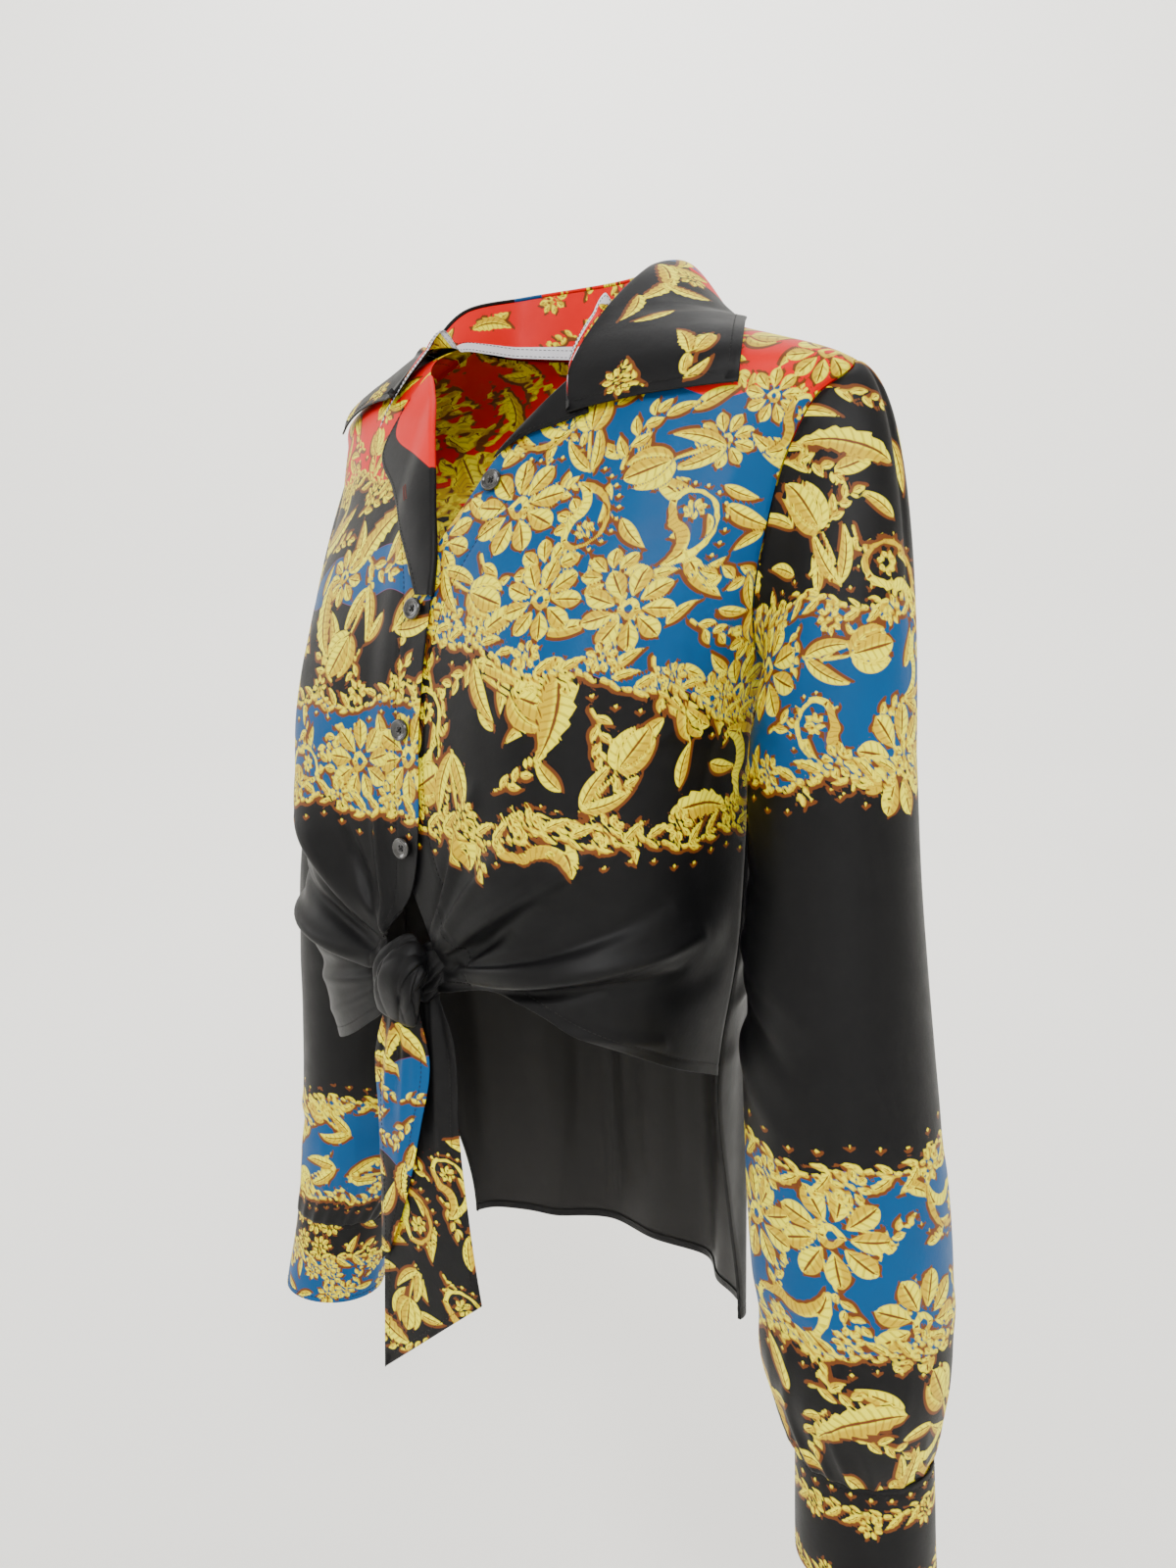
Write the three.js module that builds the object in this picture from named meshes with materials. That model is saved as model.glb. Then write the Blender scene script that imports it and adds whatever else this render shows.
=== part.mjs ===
// Printed shirt with a tied front, in the form it has when worn, with the hollow left empty.
// Millimetres, +Z up. The wearer faces -Y and the wearer's left is +X. The origin is the
// middle of the neck, at the height where the shoulder seams start.
import * as THREE from 'three';

// Driving sizes
const CLOTH = 1.4; // wall of the cloth
const SEAM_GAP = 0.3; // clear space between two sewn pieces
const NECK_HALF = 70; // neck to one side, at the shoulder seam
const SHOULDER_DROP = 42; // shoulder tip below the neck
const UNDERARM_DROP = 192;
const SIDE_DROP = 423; // side seam ends here, the back hangs on below
const BACK_HEM_DROP = 590;
const VENT_BACK_ANGLE = 112; // the back panel's corner, seen from above
const BUST_APART = 92; // middle of the fullness at each side of the front
const BUST_WIDE = 52;
const BACK_SQUARE = 2.05; // roundness of the back half of a section
const SEAM_ANGLE = 0.7; // turns the back panel clear of the side seam
const SHOULDER_SEAM_BACK = 1.2; // moves it clear of the shoulder seam
const LAP_LIFT = 2.3; // the right front lies this far outside the left one
const LAP_WIDE = 16; // half width of the lap, and of the slope beside it
const BUTTON_WIDE = 12;
const BUTTON_THICK = 2.6;
const BUTTON_SETTLE = 0.5; // room under a flat button on curved cloth
const CUFF_CLOTH = 2.4; // wall of a cuff
const CUFF_BUTTON_TURN = 0.66;

// Sections of the body, from the neck down: half width, depth to front and back, fullness
// at the bust, roundness of the front half, and how far the middle moves sideways and back
const BODY = [
  { drop: 0, half: 70, front: 4, back: 22, bust: 0, square: 2.1, side: 0, mid: 6 },
  { drop: 8, half: 92, front: 32, back: 49, bust: 0, square: 2.1, side: 1, mid: 7 },
  { drop: 20, half: 124, front: 55, back: 58, bust: 0, square: 2.1, side: 4, mid: 8 },
  { drop: 42, half: 178, front: 76, back: 69, bust: 0, square: 2, side: 8, mid: 10 },
  { drop: 62, half: 176, front: 87, back: 79, bust: 0, square: 2, side: 8, mid: 9 },
  { drop: 99, half: 169, front: 97, back: 91, bust: 1, square: 2, side: 6, mid: 5 },
  { drop: 135, half: 161, front: 106, back: 98, bust: 4, square: 2.2, side: 4, mid: 1 },
  { drop: 170, half: 152, front: 112, back: 101, bust: 8, square: 2.5, side: 2, mid: 0 },
  { drop: 200, half: 143.5, front: 116, back: 100, bust: 12, square: 2.7, side: 0, mid: 0 },
  { drop: 235, half: 138.5, front: 118, back: 98, bust: 14, square: 2.9, side: -2, mid: 0 },
  { drop: 290, half: 138, front: 117, back: 96, bust: 14, square: 3, side: -3, mid: 0 },
  { drop: 350, half: 136, front: 112, back: 95, bust: 10, square: 3, side: -5, mid: 0 },
  { drop: 417, half: 127, front: 104, back: 96, bust: 5, square: 2.8, side: -7, mid: 0 },
  { drop: 500, half: 120, front: 100, back: 98, bust: 0, square: 2.4, side: -2, mid: 0 },
  { drop: 600, half: 118, front: 100, back: 101, bust: 0, square: 2.4, side: 0, mid: 0 },
];

// Armhole, from the shoulder tip (share 0) to the underarm (share 1)
const ARMHOLE = [
  { share: 0, drop: SHOULDER_DROP, front: 90, back: 90 },
  { share: 0.2, drop: 61, front: 76, back: 103 },
  { share: 0.4, drop: 90, front: 72, back: 107 },
  { share: 0.6, drop: 127, front: 73, back: 107 },
  { share: 0.8, drop: 162, front: 76, back: 104 },
  { share: 0.93, drop: 185, front: 83, back: 96 },
  { share: 1, drop: UNDERARM_DROP, front: 90, back: 90 },
];

// Inner edge of each front, from the neck at the shoulder seam to the underside of the
// knot. out is measured from the middle towards the panel's own side.
const INNER_LEFT = [
  { share: 0, out: NECK_HALF, drop: 0 },
  { share: 0.1, out: 69, drop: 22 },
  { share: 0.18, out: 66, drop: 44 },
  { share: 0.26, out: 47, drop: 66 },
  { share: 0.33, out: 29, drop: 87 },
  { share: 0.4, out: 18, drop: 108 },
  { share: 0.48, out: 2, drop: 138 },
  { share: 0.55, out: -9, drop: 168 },
  { share: 0.65, out: -12, drop: 225 },
  { share: 0.75, out: -8, drop: 284 },
  { share: 0.8, out: 2, drop: 314 },
  { share: 0.85, out: 14, drop: 339 },
  { share: 0.92, out: 19, drop: 353 },
  { share: 1, out: 17, drop: 370 },
];
const INNER_RIGHT = [
  { share: 0, out: NECK_HALF, drop: 0 },
  { share: 0.1, out: 63, drop: 20 },
  { share: 0.18, out: 44, drop: 42 },
  { share: 0.26, out: 28, drop: 63 },
  { share: 0.33, out: 16, drop: 86 },
  { share: 0.4, out: 5, drop: 110 },
  { share: 0.48, out: -7, drop: 138 },
  { share: 0.55, out: -10, drop: 168 },
  { share: 0.65, out: -12, drop: 225 },
  { share: 0.75, out: -11, drop: 284 },
  { share: 0.8, out: -4, drop: 314 },
  { share: 0.85, out: 16, drop: 339 },
  { share: 0.92, out: 21, drop: 353 },
  { share: 1, out: 19, drop: 372 },
];

// Hem of each front; turn runs from the knot (0) to the side seam (1)
const HEM_LEFT = [
  { turn: 0, drop: 370 },
  { turn: 0.17, drop: 363 },
  { turn: 0.31, drop: 367 },
  { turn: 0.47, drop: 383 },
  { turn: 0.75, drop: 407 },
  { turn: 1, drop: SIDE_DROP },
];
const HEM_RIGHT = [
  { turn: 0, drop: 372 },
  { turn: 0.17, drop: 384 },
  { turn: 0.31, drop: 396 },
  { turn: 0.47, drop: 406 },
  { turn: 0.75, drop: 418 },
  { turn: 1, drop: SIDE_DROP },
];

// Largest folds of the fronts: a ridge (or a trough, where high is negative) that starts
// beside the knot and ends at out and drop; wide is its half width at its far end
const KNOT_DROP = 357;
const FOLDS_LEFT = [
  { out: 84, drop: 280, high: 6, wide: 12 },
  { out: 124, drop: 308, high: -4, wide: 12 },
  { out: 138, drop: 334, high: 5, wide: 11 },
  { out: 124, drop: 360, high: -4, wide: 9 },
];
const FOLDS_RIGHT = [
  { out: 92, drop: 276, high: 6, wide: 12 },
  { out: 124, drop: 304, high: -4, wide: 13 },
  { out: 138, drop: 345, high: 6, wide: 12 },
  { out: 112, drop: 378, high: -4, wide: 9 },
];

// Sleeves, from below the underarm to the cuff: middle line and radius
const SLEEVE_LEFT = [
  { drop: 236, x: 184.5, y: 3, radius: 41.5 },
  { drop: 300, x: 187, y: 2, radius: 44 },
  { drop: 353, x: 190, y: 0, radius: 47.5 },
  { drop: 403, x: 195, y: -2, radius: 49.5 },
  { drop: 453, x: 201, y: -4, radius: 51 },
  { drop: 503, x: 206, y: -5, radius: 51 },
  { drop: 553, x: 211, y: -6, radius: 48 },
  { drop: 582, x: 214, y: -6, radius: 41 },
  { drop: 599, x: 216, y: -6, radius: 35.5 },
];
const SLEEVE_RIGHT = [
  { drop: 236, x: -185, y: 6, radius: 40 },
  { drop: 300, x: -187.5, y: 8, radius: 42 },
  { drop: 353, x: -191, y: 10, radius: 45.5 },
  { drop: 403, x: -193, y: 12, radius: 47 },
  { drop: 453, x: -194, y: 13, radius: 46.5 },
  { drop: 503, x: -195, y: 12, radius: 45.5 },
  { drop: 553, x: -198, y: 8, radius: 44 },
  { drop: 582, x: -204, y: 4, radius: 39 },
  { drop: 599, x: -208, y: 1, radius: 35.5 },
];
const CUFF_LEFT = { top: [217, -6, -600], low: [220, -6, -659], radius: 34 };
const CUFF_RIGHT = { top: [-209, 0, -600], low: [-217, -4, -659], radius: 34 };

// Collar stations from the left front end round the back of the neck to the right front
// end: neck seam, fold at the top, and free edge
const COLLAR = [
  { share: 0, seam: [70, -66, -52], fold: [77, -79, -67], edge: [154, -44, -57] },
  { share: 0.08, seam: [65, -56, -38], fold: [70, -69, -45], edge: [151, -36, -38] },
  { share: 0.17, seam: [63, -36, -18], fold: [69, -42, -12], edge: [138, -14, -24] },
  { share: 0.27, seam: [64, -4, -2], fold: [69, -2, 20], edge: [116, 20, -12] },
  { share: 0.36, seam: [55, 32, 0], fold: [57, 38, 33], edge: [82, 54, -13] },
  { share: 0.5, seam: [0, 55, -3], fold: [0, 62, 38], edge: [0, 76, -15] },
  { share: 0.64, seam: [-55, 32, 0], fold: [-57, 38, 33], edge: [-78, 52, -17] },
  { share: 0.73, seam: [-64, -4, -2], fold: [-69, -2, 20], edge: [-98, 28, -19] },
  { share: 0.83, seam: [-59, -30, -19], fold: [-70, -30, -4], edge: [-110, 6, -30] },
  { share: 0.92, seam: [-62, -54, -41], fold: [-67, -52, -24], edge: [-120, -16, -43] },
  { share: 1, seam: [-68, -74, -63], fold: [-66, -69, -42], edge: [-126, -34, -55] },
];

const clamp01 = (value) => Math.min(1, Math.max(0, value));
const ease = (value) => {
  const t = clamp01(value);
  return t * t * (3 - 2 * t);
};

// Smooth reading of a table by one of its columns
function reader(rows, by) {
  const keys = Object.keys(rows[0]).filter((key) => key !== by);
  const slope = (key, i) => {
    const before = rows[Math.max(0, i - 1)];
    const after = rows[Math.min(rows.length - 1, i + 1)];
    return (after[key] - before[key]) / (after[by] - before[by]);
  };
  return (at) => {
    let i = 0;
    while (i < rows.length - 2 && at > rows[i + 1][by]) i += 1;
    const [a, b] = [rows[i], rows[i + 1]];
    const span = b[by] - a[by];
    const t = clamp01((at - a[by]) / span);
    const found = {};
    for (const key of keys) {
      found[key] =
        a[key] * (2 * t ** 3 - 3 * t ** 2 + 1) +
        b[key] * (3 * t ** 2 - 2 * t ** 3) +
        slope(key, i) * span * (t ** 3 - 2 * t ** 2 + t) +
        slope(key, i + 1) * span * (t ** 3 - t ** 2);
    }
    return found;
  };
}

const bodyAt = reader(BODY, 'drop');
const armholeAt = reader(ARMHOLE, 'share');

// Point of the body's surface. Angle 0 is the middle of the front, 90 the wearer's left.
function body(angle, drop) {
  const row = bodyAt(drop);
  const turn = THREE.MathUtils.degToRad(angle);
  const across = Math.sin(turn);
  const ahead = Math.cos(turn);
  const power = ahead > 0 ? row.square : BACK_SQUARE;
  const grow = (Math.abs(across) ** power + Math.abs(ahead) ** power) ** (-1 / power);
  const depth = ahead > 0 ? row.front : row.back;
  const x = row.half * across * grow;
  const nearBust = Math.exp(-(((Math.abs(x) - BUST_APART) / BUST_WIDE) ** 2));
  const bust = row.bust * nearBust * ease(ahead * 2.5);
  return new THREE.Vector3(row.side + x, row.mid - depth * ahead * grow - bust, -drop);
}

// Angle at which the front's surface lies this far out from the middle
function angleOut(out, drop) {
  let [low, high] = [-60, 90];
  const side = bodyAt(drop).side;
  for (let step = 0; step < 40; step += 1) {
    const middle = (low + high) / 2;
    if (body(middle, drop).x - side < out) low = middle;
    else high = middle;
  }
  return (low + high) / 2;
}

// Moves a point straight out of the body until it is clear of its surface
const CLEAR_PASSES = 14;
function keepOut(point, clearance) {
  const level = ({ x, y, z }) => {
    const row = bodyAt(-z);
    const power = y < row.mid ? row.square : BACK_SQUARE;
    const depth = y < row.mid ? row.front : row.back;
    const [across, ahead] = [Math.abs(x - row.side) / row.half, Math.abs(y - row.mid) / depth];
    return (across ** power + ahead ** power) ** (1 / power) - 1;
  };
  for (let pass = 0; pass < CLEAR_PASSES; pass += 1) {
    if (point.z > -3) return point;
    const here = level(point);
    const slope = new THREE.Vector3(
      level(point.clone().setX(point.x + 0.5)) - here,
      level(point.clone().setY(point.y + 0.5)) - here,
      level(point.clone().setZ(point.z + 0.5)) - here,
    ).multiplyScalar(2);
    const steep = slope.length();
    const short = clearance - here / steep;
    if (short <= 0.01) return point;
    point.addScaledVector(slope, (0.6 * short) / steep);
  }
  return point;
}

// An edge given by share, out and drop, as angle and drop
function edgeOut(rows) {
  const at = reader(rows, 'share');
  return (share) => {
    const { out, drop } = at(share);
    return { angle: angleOut(out, drop), drop };
  };
}

// Fills four edges with angle and drop; every edge runs from share 0 to 1
function fill(top, bottom, start, end) {
  const mix = (key, u, v) => {
    const corners =
      (1 - u) * (1 - v) * top(0)[key] +
      u * (1 - v) * top(1)[key] +
      (1 - u) * v * bottom(0)[key] +
      u * v * bottom(1)[key];
    const across = (1 - u) * start(v)[key] + u * end(v)[key];
    const down = (1 - v) * top(u)[key] + v * bottom(u)[key];
    return across + down - corners;
  };
  return (u, v) => ({ angle: mix('angle', u, v), drop: mix('drop', u, v) });
}

// Armhole, then side seam
const ARMHOLE_SHARE = 0.42;
function outerEdge(column) {
  return (share) => {
    if (share <= ARMHOLE_SHARE) {
      const row = armholeAt(share / ARMHOLE_SHARE);
      return { angle: row[column], drop: row.drop };
    }
    const down = (share - ARMHOLE_SHARE) / (1 - ARMHOLE_SHARE);
    return { angle: 90, drop: UNDERARM_DROP + (SIDE_DROP - UNDERARM_DROP) * down };
  };
}

const shoulderEdge = (share) => ({ angle: 90, drop: SHOULDER_DROP * share });

// Folds narrow to this half width at the knot, and fade out before the side seam and the knot
const FOLD_NARROW = 6;
const FOLD_SIDE_ANGLE = 86;
const FOLD_SIDE_FADE = 12;
const FOLD_KNOT_CLEAR = 14;
const FOLD_KNOT_FADE = 22;

// Height of a front's folds at one point of the surface, given in the panel's own sense
function foldHeight(folds, out, drop, angle) {
  const reach = Math.sqrt(out ** 2 + (KNOT_DROP - drop) ** 2);
  let height = 0;
  for (const fold of folds) {
    const length = Math.hypot(fold.out, KNOT_DROP - fold.drop);
    const [ux, uz] = [fold.out / length, (KNOT_DROP - fold.drop) / length];
    const along = (out * ux + (KNOT_DROP - drop) * uz) / length;
    const off = out * uz - (KNOT_DROP - drop) * ux;
    const wide = FOLD_NARROW + (fold.wide - FOLD_NARROW) * clamp01(along);
    const fade = ease(along * 4) * (1 - ease((along - 0.75) / 0.5));
    height += fold.high * fade * Math.exp(-((off / wide) ** 2));
  }
  const besideSeam = ease((FOLD_SIDE_ANGLE - Math.abs(angle)) / FOLD_SIDE_FADE);
  return height * besideSeam * ease((reach - FOLD_KNOT_CLEAR) / FOLD_KNOT_FADE);
}

// Grid of points of a surface, rows down and columns across
function grid(across, down, surface) {
  const rows = [];
  for (let j = 0; j <= down; j += 1) {
    const row = [];
    for (let i = 0; i <= across; i += 1) row.push(surface(i / across, j / down));
    rows.push(row);
  }
  return rows;
}

// Outward direction at each point of a grid; round says that the columns close on themselves
function normals(rows, round) {
  const columns = rows[0].length;
  const last = rows.length - 1;
  return rows.map((row, j) =>
    row.map((point, i) => {
      const left = round ? row[(i - 1 + columns) % columns] : row[Math.max(0, i - 1)];
      const right = round ? row[(i + 1) % columns] : row[Math.min(columns - 1, i + 1)];
      const above = rows[Math.max(0, j - 1)][i];
      const below = rows[Math.min(last, j + 1)][i];
      const acrossWay = right.clone().sub(left);
      const downWay = below.clone().sub(above);
      return downWay.cross(acrossWay).normalize();
    }),
  );
}

// Closed wall of one thickness round a grid of points
function wall(rows, thick, round = false) {
  const out = normals(rows, round);
  const columns = rows[0].length;
  const count = rows.length * columns;
  const position = [];
  for (const side of [0.5, -0.5]) {
    rows.forEach((row, j) =>
      row.forEach((point, i) => {
        const moved = point.clone().addScaledVector(out[j][i], side * thick);
        position.push(moved.x, moved.y, moved.z);
      }),
    );
  }
  const index = [];
  const quad = (a, b, c, d) => index.push(a, b, c, a, c, d);
  const at = (j, i) => j * columns + (i % columns);
  const steps = round ? columns : columns - 1;
  for (let j = 0; j < rows.length - 1; j += 1) {
    for (let i = 0; i < steps; i += 1) {
      const [a, b, c, d] = [at(j, i), at(j + 1, i), at(j + 1, i + 1), at(j, i + 1)];
      quad(a, b, c, d);
      quad(a + count, d + count, c + count, b + count);
    }
  }
  for (let i = 0; i < steps; i += 1) {
    const [a, b] = [at(0, i), at(0, i + 1)];
    const [c, d] = [at(rows.length - 1, i), at(rows.length - 1, i + 1)];
    quad(a, b, b + count, a + count);
    quad(d, c, c + count, d + count);
  }
  if (!round) {
    for (let j = 0; j < rows.length - 1; j += 1) {
      const [a, b] = [at(j, 0), at(j + 1, 0)];
      const [c, d] = [at(j, columns - 1), at(j + 1, columns - 1)];
      quad(b, a, a + count, b + count);
      quad(c, d, d + count, c + count);
    }
  }
  return facingOut(position, index);
}

// Solid geometry whose faces point out
function facingOut(position, index) {
  let volume = 0;
  const corner = (k) => new THREE.Vector3().fromArray(position, 3 * index[k]);
  for (let k = 0; k < index.length; k += 3) {
    volume += corner(k).dot(corner(k + 1).cross(corner(k + 2)));
  }
  if (volume < 0) index.reverse();
  const geometry = new THREE.BufferGeometry();
  geometry.setAttribute('position', new THREE.Float32BufferAttribute(position, 3));
  geometry.setIndex(index);
  geometry.computeVertexNormals();
  return geometry;
}

// Surface of one front; side is 1 for the wearer's left and -1 for the right
function frontSurface(side, inner, hem, folds) {
  const innerEdge = edgeOut(inner);
  const atKnot = innerEdge(1).angle;
  const hemAt = reader(hem, 'turn');
  const hemEdge = (turn) => ({ angle: atKnot + (90 - atKnot) * turn, drop: hemAt(turn).drop });
  const place = fill(shoulderEdge, hemEdge, innerEdge, outerEdge('front'));
  return (u, v) => {
    const { angle, drop } = place(u, v);
    return frontPoint(side, folds, angle, drop, 0);
  };
}

// Point on a front, moved out by lift; the right front lies outside the left one
function frontPoint(side, folds, angle, drop, lift) {
  const point = body(side * angle, drop);
  const step = 0.5;
  const acrossWay = body(side * angle + step, drop).sub(body(side * angle - step, drop));
  const downWay = body(side * angle, drop + step).sub(body(side * angle, drop - step));
  const out = downWay.cross(acrossWay).normalize();
  const own = side * point.x;
  const over = side < 0 ? LAP_LIFT * (1 - ease((own - LAP_WIDE) / LAP_WIDE)) : 0;
  return point.addScaledVector(out, lift + over + foldHeight(folds, own, drop, angle));
}

// Back panel: shoulder seams and neck at the top, vents at the sides, a straight hem
const BACK_TOP = [
  { share: 0, angle: 90, drop: SHOULDER_DROP },
  { share: 0.16, angle: 90, drop: 21 },
  { share: 0.32, angle: 90, drop: 1 },
  { share: 0.38, angle: 132, drop: 5 },
  { share: 0.5, angle: 180, drop: 9 },
  { share: 0.62, angle: 228, drop: 5 },
  { share: 0.68, angle: 270, drop: 1 },
  { share: 0.84, angle: 270, drop: 21 },
  { share: 1, angle: 270, drop: SHOULDER_DROP },
];
const BACK_ARMHOLE_SHARE = 0.27;
const BACK_VENT_SHARE = 0.69;
const BACK_FOLD_GROWS = 160; // length over which a fold of the back comes up to its height
const BACK_HEM_SAG = 6;
const BACK_FOLDS = [
  { angle: 118, high: 5, wide: 7, from: 300 },
  { angle: 140, high: -5, wide: 8, from: 330 },
  { angle: 158, high: 6, wide: 8, from: 290 },
  { angle: 178, high: -4, wide: 9, from: 360 },
  { angle: 197, high: 5, wide: 8, from: 310 },
  { angle: 217, high: -6, wide: 8, from: 330 },
  { angle: 240, high: 5, wide: 8, from: 280 },
];

function straight(rows) {
  return (share) => {
    let i = 0;
    while (i < rows.length - 2 && share > rows[i + 1].share) i += 1;
    const t = (share - rows[i].share) / (rows[i + 1].share - rows[i].share);
    const mix = (key) => rows[i][key] * (1 - t) + rows[i + 1][key] * t;
    return { angle: mix('angle'), drop: mix('drop') };
  };
}

// Side of the back: armhole, side seam, then the free edge of the vent
function backEdge(mirror) {
  return (share) => {
    if (share <= BACK_ARMHOLE_SHARE) {
      const row = armholeAt(share / BACK_ARMHOLE_SHARE);
      return { angle: mirror(row.back), drop: row.drop };
    }
    if (share <= BACK_VENT_SHARE) {
      const down = (share - BACK_ARMHOLE_SHARE) / (BACK_VENT_SHARE - BACK_ARMHOLE_SHARE);
      const drop = UNDERARM_DROP + (SIDE_DROP - UNDERARM_DROP) * down;
      return { angle: mirror(90 + SEAM_ANGLE), drop };
    }
    const down = (share - BACK_VENT_SHARE) / (1 - BACK_VENT_SHARE);
    return {
      angle: mirror(90 + SEAM_ANGLE + (VENT_BACK_ANGLE - 90) * ease(down)),
      drop: SIDE_DROP + (BACK_HEM_DROP - SIDE_DROP) * down,
    };
  };
}

function backSurface() {
  const cornerAngle = VENT_BACK_ANGLE + SEAM_ANGLE;
  const hem = (share) => ({
    angle: cornerAngle + (360 - 2 * cornerAngle) * share,
    drop: BACK_HEM_DROP + BACK_HEM_SAG * Math.sin(Math.PI * share),
  });
  const place = fill(
    straight(BACK_TOP),
    hem,
    backEdge((angle) => angle),
    backEdge((angle) => 360 - angle),
  );
  return (u, v) => {
    const { angle, drop } = place(u, v);
    const point = body(angle, drop);
    let height = 0;
    for (const fold of BACK_FOLDS) {
      const fade = ease((drop - fold.from) / BACK_FOLD_GROWS);
      height += fold.high * fade * Math.exp(-(((angle - fold.angle) / fold.wide) ** 2));
    }
    const away = new THREE.Vector3(point.x, point.y, 0).normalize();
    const seamBack = clamp01(1 - v * 14) * SHOULDER_SEAM_BACK;
    return point.addScaledVector(away, height).add(new THREE.Vector3(0, seamBack, 0));
  };
}

// Point of the armhole ring; turn 0 is the shoulder tip, the front comes first
function armholePoint(side, turn) {
  const share = 1 - Math.abs(2 * turn - 1);
  const row = armholeAt(share);
  const angle = turn < 0.5 ? row.front : row.back;
  return body(side * angle, row.drop);
}

// Sleeve from the armhole to the cuff, with soft folds across the elbow
const CAP_SHARE = 0.34;
const CAP_EASE = 0.9; // more room where the sleeve's head meets the back panel
// How the sleeve leaves the armhole, at the underarm and more at the shoulder: out, back, down
const LEAVE = { out: 14, moreOut: 7, moreBack: 7, down: 12, lessDown: 8 };
// Length of the straight run into the tube, at the underarm and more at the shoulder
const ARRIVE = { up: 18, moreUp: 52 };
const SLEEVE_FOLDS = [
  { drop: 330, high: -2.5, wide: 14, turn: 0.62 },
  { drop: 372, high: -3, wide: 12, turn: 0.42 },
  { drop: 420, high: -2.5, wide: 13, turn: 0.7 },
  { drop: 520, high: -2.5, wide: 12, turn: 0.3 },
];
function sleeveSurface(side, rows) {
  const at = reader(rows, 'drop');
  const first = rows[0].drop;
  const last = rows[rows.length - 1].drop;
  const tube = (turn, drop) => {
    const row = at(drop);
    const around = 2 * Math.PI * turn;
    const lateral = side * Math.cos(around);
    const ahead = -Math.sin(around);
    let radius = row.radius;
    for (const fold of SLEEVE_FOLDS) {
      const apart = Math.abs(((turn - fold.turn + 1.5) % 1) - 0.5);
      const bend = fold.drop + 60 * apart;
      radius += fold.high * Math.exp(-(((drop - bend) / fold.wide) ** 2)) * (1 - ease(apart * 3));
    }
    return new THREE.Vector3(row.x + radius * lateral, row.y + radius * ahead, -drop);
  };
  return (turn, v) => {
    if (v >= CAP_SHARE) {
      return tube(turn, first + ((last - first) * (v - CAP_SHARE)) / (1 - CAP_SHARE));
    }
    const t = v / CAP_SHARE;
    const start = armholePoint(side, turn);
    const finish = tube(turn, first);
    const upper = (1 + Math.cos(2 * Math.PI * turn)) / 2;
    const leave = new THREE.Vector3(
      side * (LEAVE.out + LEAVE.moreOut * upper),
      LEAVE.moreBack * upper,
      LEAVE.lessDown * upper - LEAVE.down,
    );
    const arrive = new THREE.Vector3(0, 0, ARRIVE.up + ARRIVE.moreUp * upper);
    const away = leave.clone().normalize();
    start.addScaledVector(away, CLOTH + SEAM_GAP + (turn > 0.5 ? CAP_EASE : 0));
    const [p1, p2] = [start.clone().add(leave), finish.clone().add(arrive)];
    return start
      .multiplyScalar((1 - t) ** 3)
      .addScaledVector(p1, 3 * t * (1 - t) ** 2)
      .addScaledVector(p2, 3 * t ** 2 * (1 - t))
      .addScaledVector(finish, t ** 3);
  };
}

// Cuff: a plain band, a little wider at its lower end and a little oval
const CUFF_FLARE = 0.03;
const CUFF_OVAL = 0.03;
function cuffSurface(side, cuff) {
  const top = new THREE.Vector3(...cuff.top);
  const low = new THREE.Vector3(...cuff.low);
  return (turn, v) => {
    const around = 2 * Math.PI * turn;
    const radius = cuff.radius * (1 + CUFF_FLARE * v + CUFF_OVAL * Math.cos(2 * around));
    const middle = top.clone().lerp(low, v);
    return middle.add(
      new THREE.Vector3(side * Math.cos(around) * radius, -Math.sin(around) * radius, 0),
    );
  };
}

// Collar surfaces from the stations
function stationReader() {
  const flat = COLLAR.map((row) => ({
    share: row.share,
    seamX: row.seam[0], seamY: row.seam[1], seamZ: row.seam[2],
    foldX: row.fold[0], foldY: row.fold[1], foldZ: row.fold[2],
    edgeX: row.edge[0], edgeY: row.edge[1], edgeZ: row.edge[2],
  }));
  const at = reader(flat, 'share');
  return (share) => {
    const row = at(share);
    return {
      seam: new THREE.Vector3(row.seamX, row.seamY, row.seamZ),
      fold: new THREE.Vector3(row.foldX, row.foldY, row.foldZ),
      edge: new THREE.Vector3(row.edgeX, row.edgeY, row.edgeZ),
    };
  };
}
const collarAt = stationReader();
const STAND_BELOW_FOLD = 4.2;
const STAND_ABOVE_SEAM = 3;
const STAND_SHORTER = 0.03; // share by which each end of the stand stops before the fall's
const STAND_LEAST = 2.4; // least height of the stand, at its front ends
const STAND_CLEAR = 4.6; // the stand's front ends lie this far outside the body
const LEAF_CLEAR = 4.9; // the folded collar lies this far outside the body, over the lapels

const FREE_OF_BODY = 24.6; // the rest of the stand may lie this much deeper, in the neck

function standSurface(share, v) {
  const { seam, fold } = collarAt(STAND_SHORTER + (1 - 2 * STAND_SHORTER) * share);
  const up = fold.clone().sub(seam);
  const length = up.length();
  up.normalize();
  const from = seam.clone().addScaledVector(up, STAND_ABOVE_SEAM);
  const top = Math.max(length - STAND_BELOW_FOLD, STAND_ABOVE_SEAM + STAND_LEAST);
  const point = seam.clone().addScaledVector(up, top).lerp(from, v);
  const front = ease((Math.abs(share - 0.5) - 0.2) / 0.1);
  return keepOut(point, STAND_CLEAR + FREE_OF_BODY * (front - 1));
}

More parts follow.
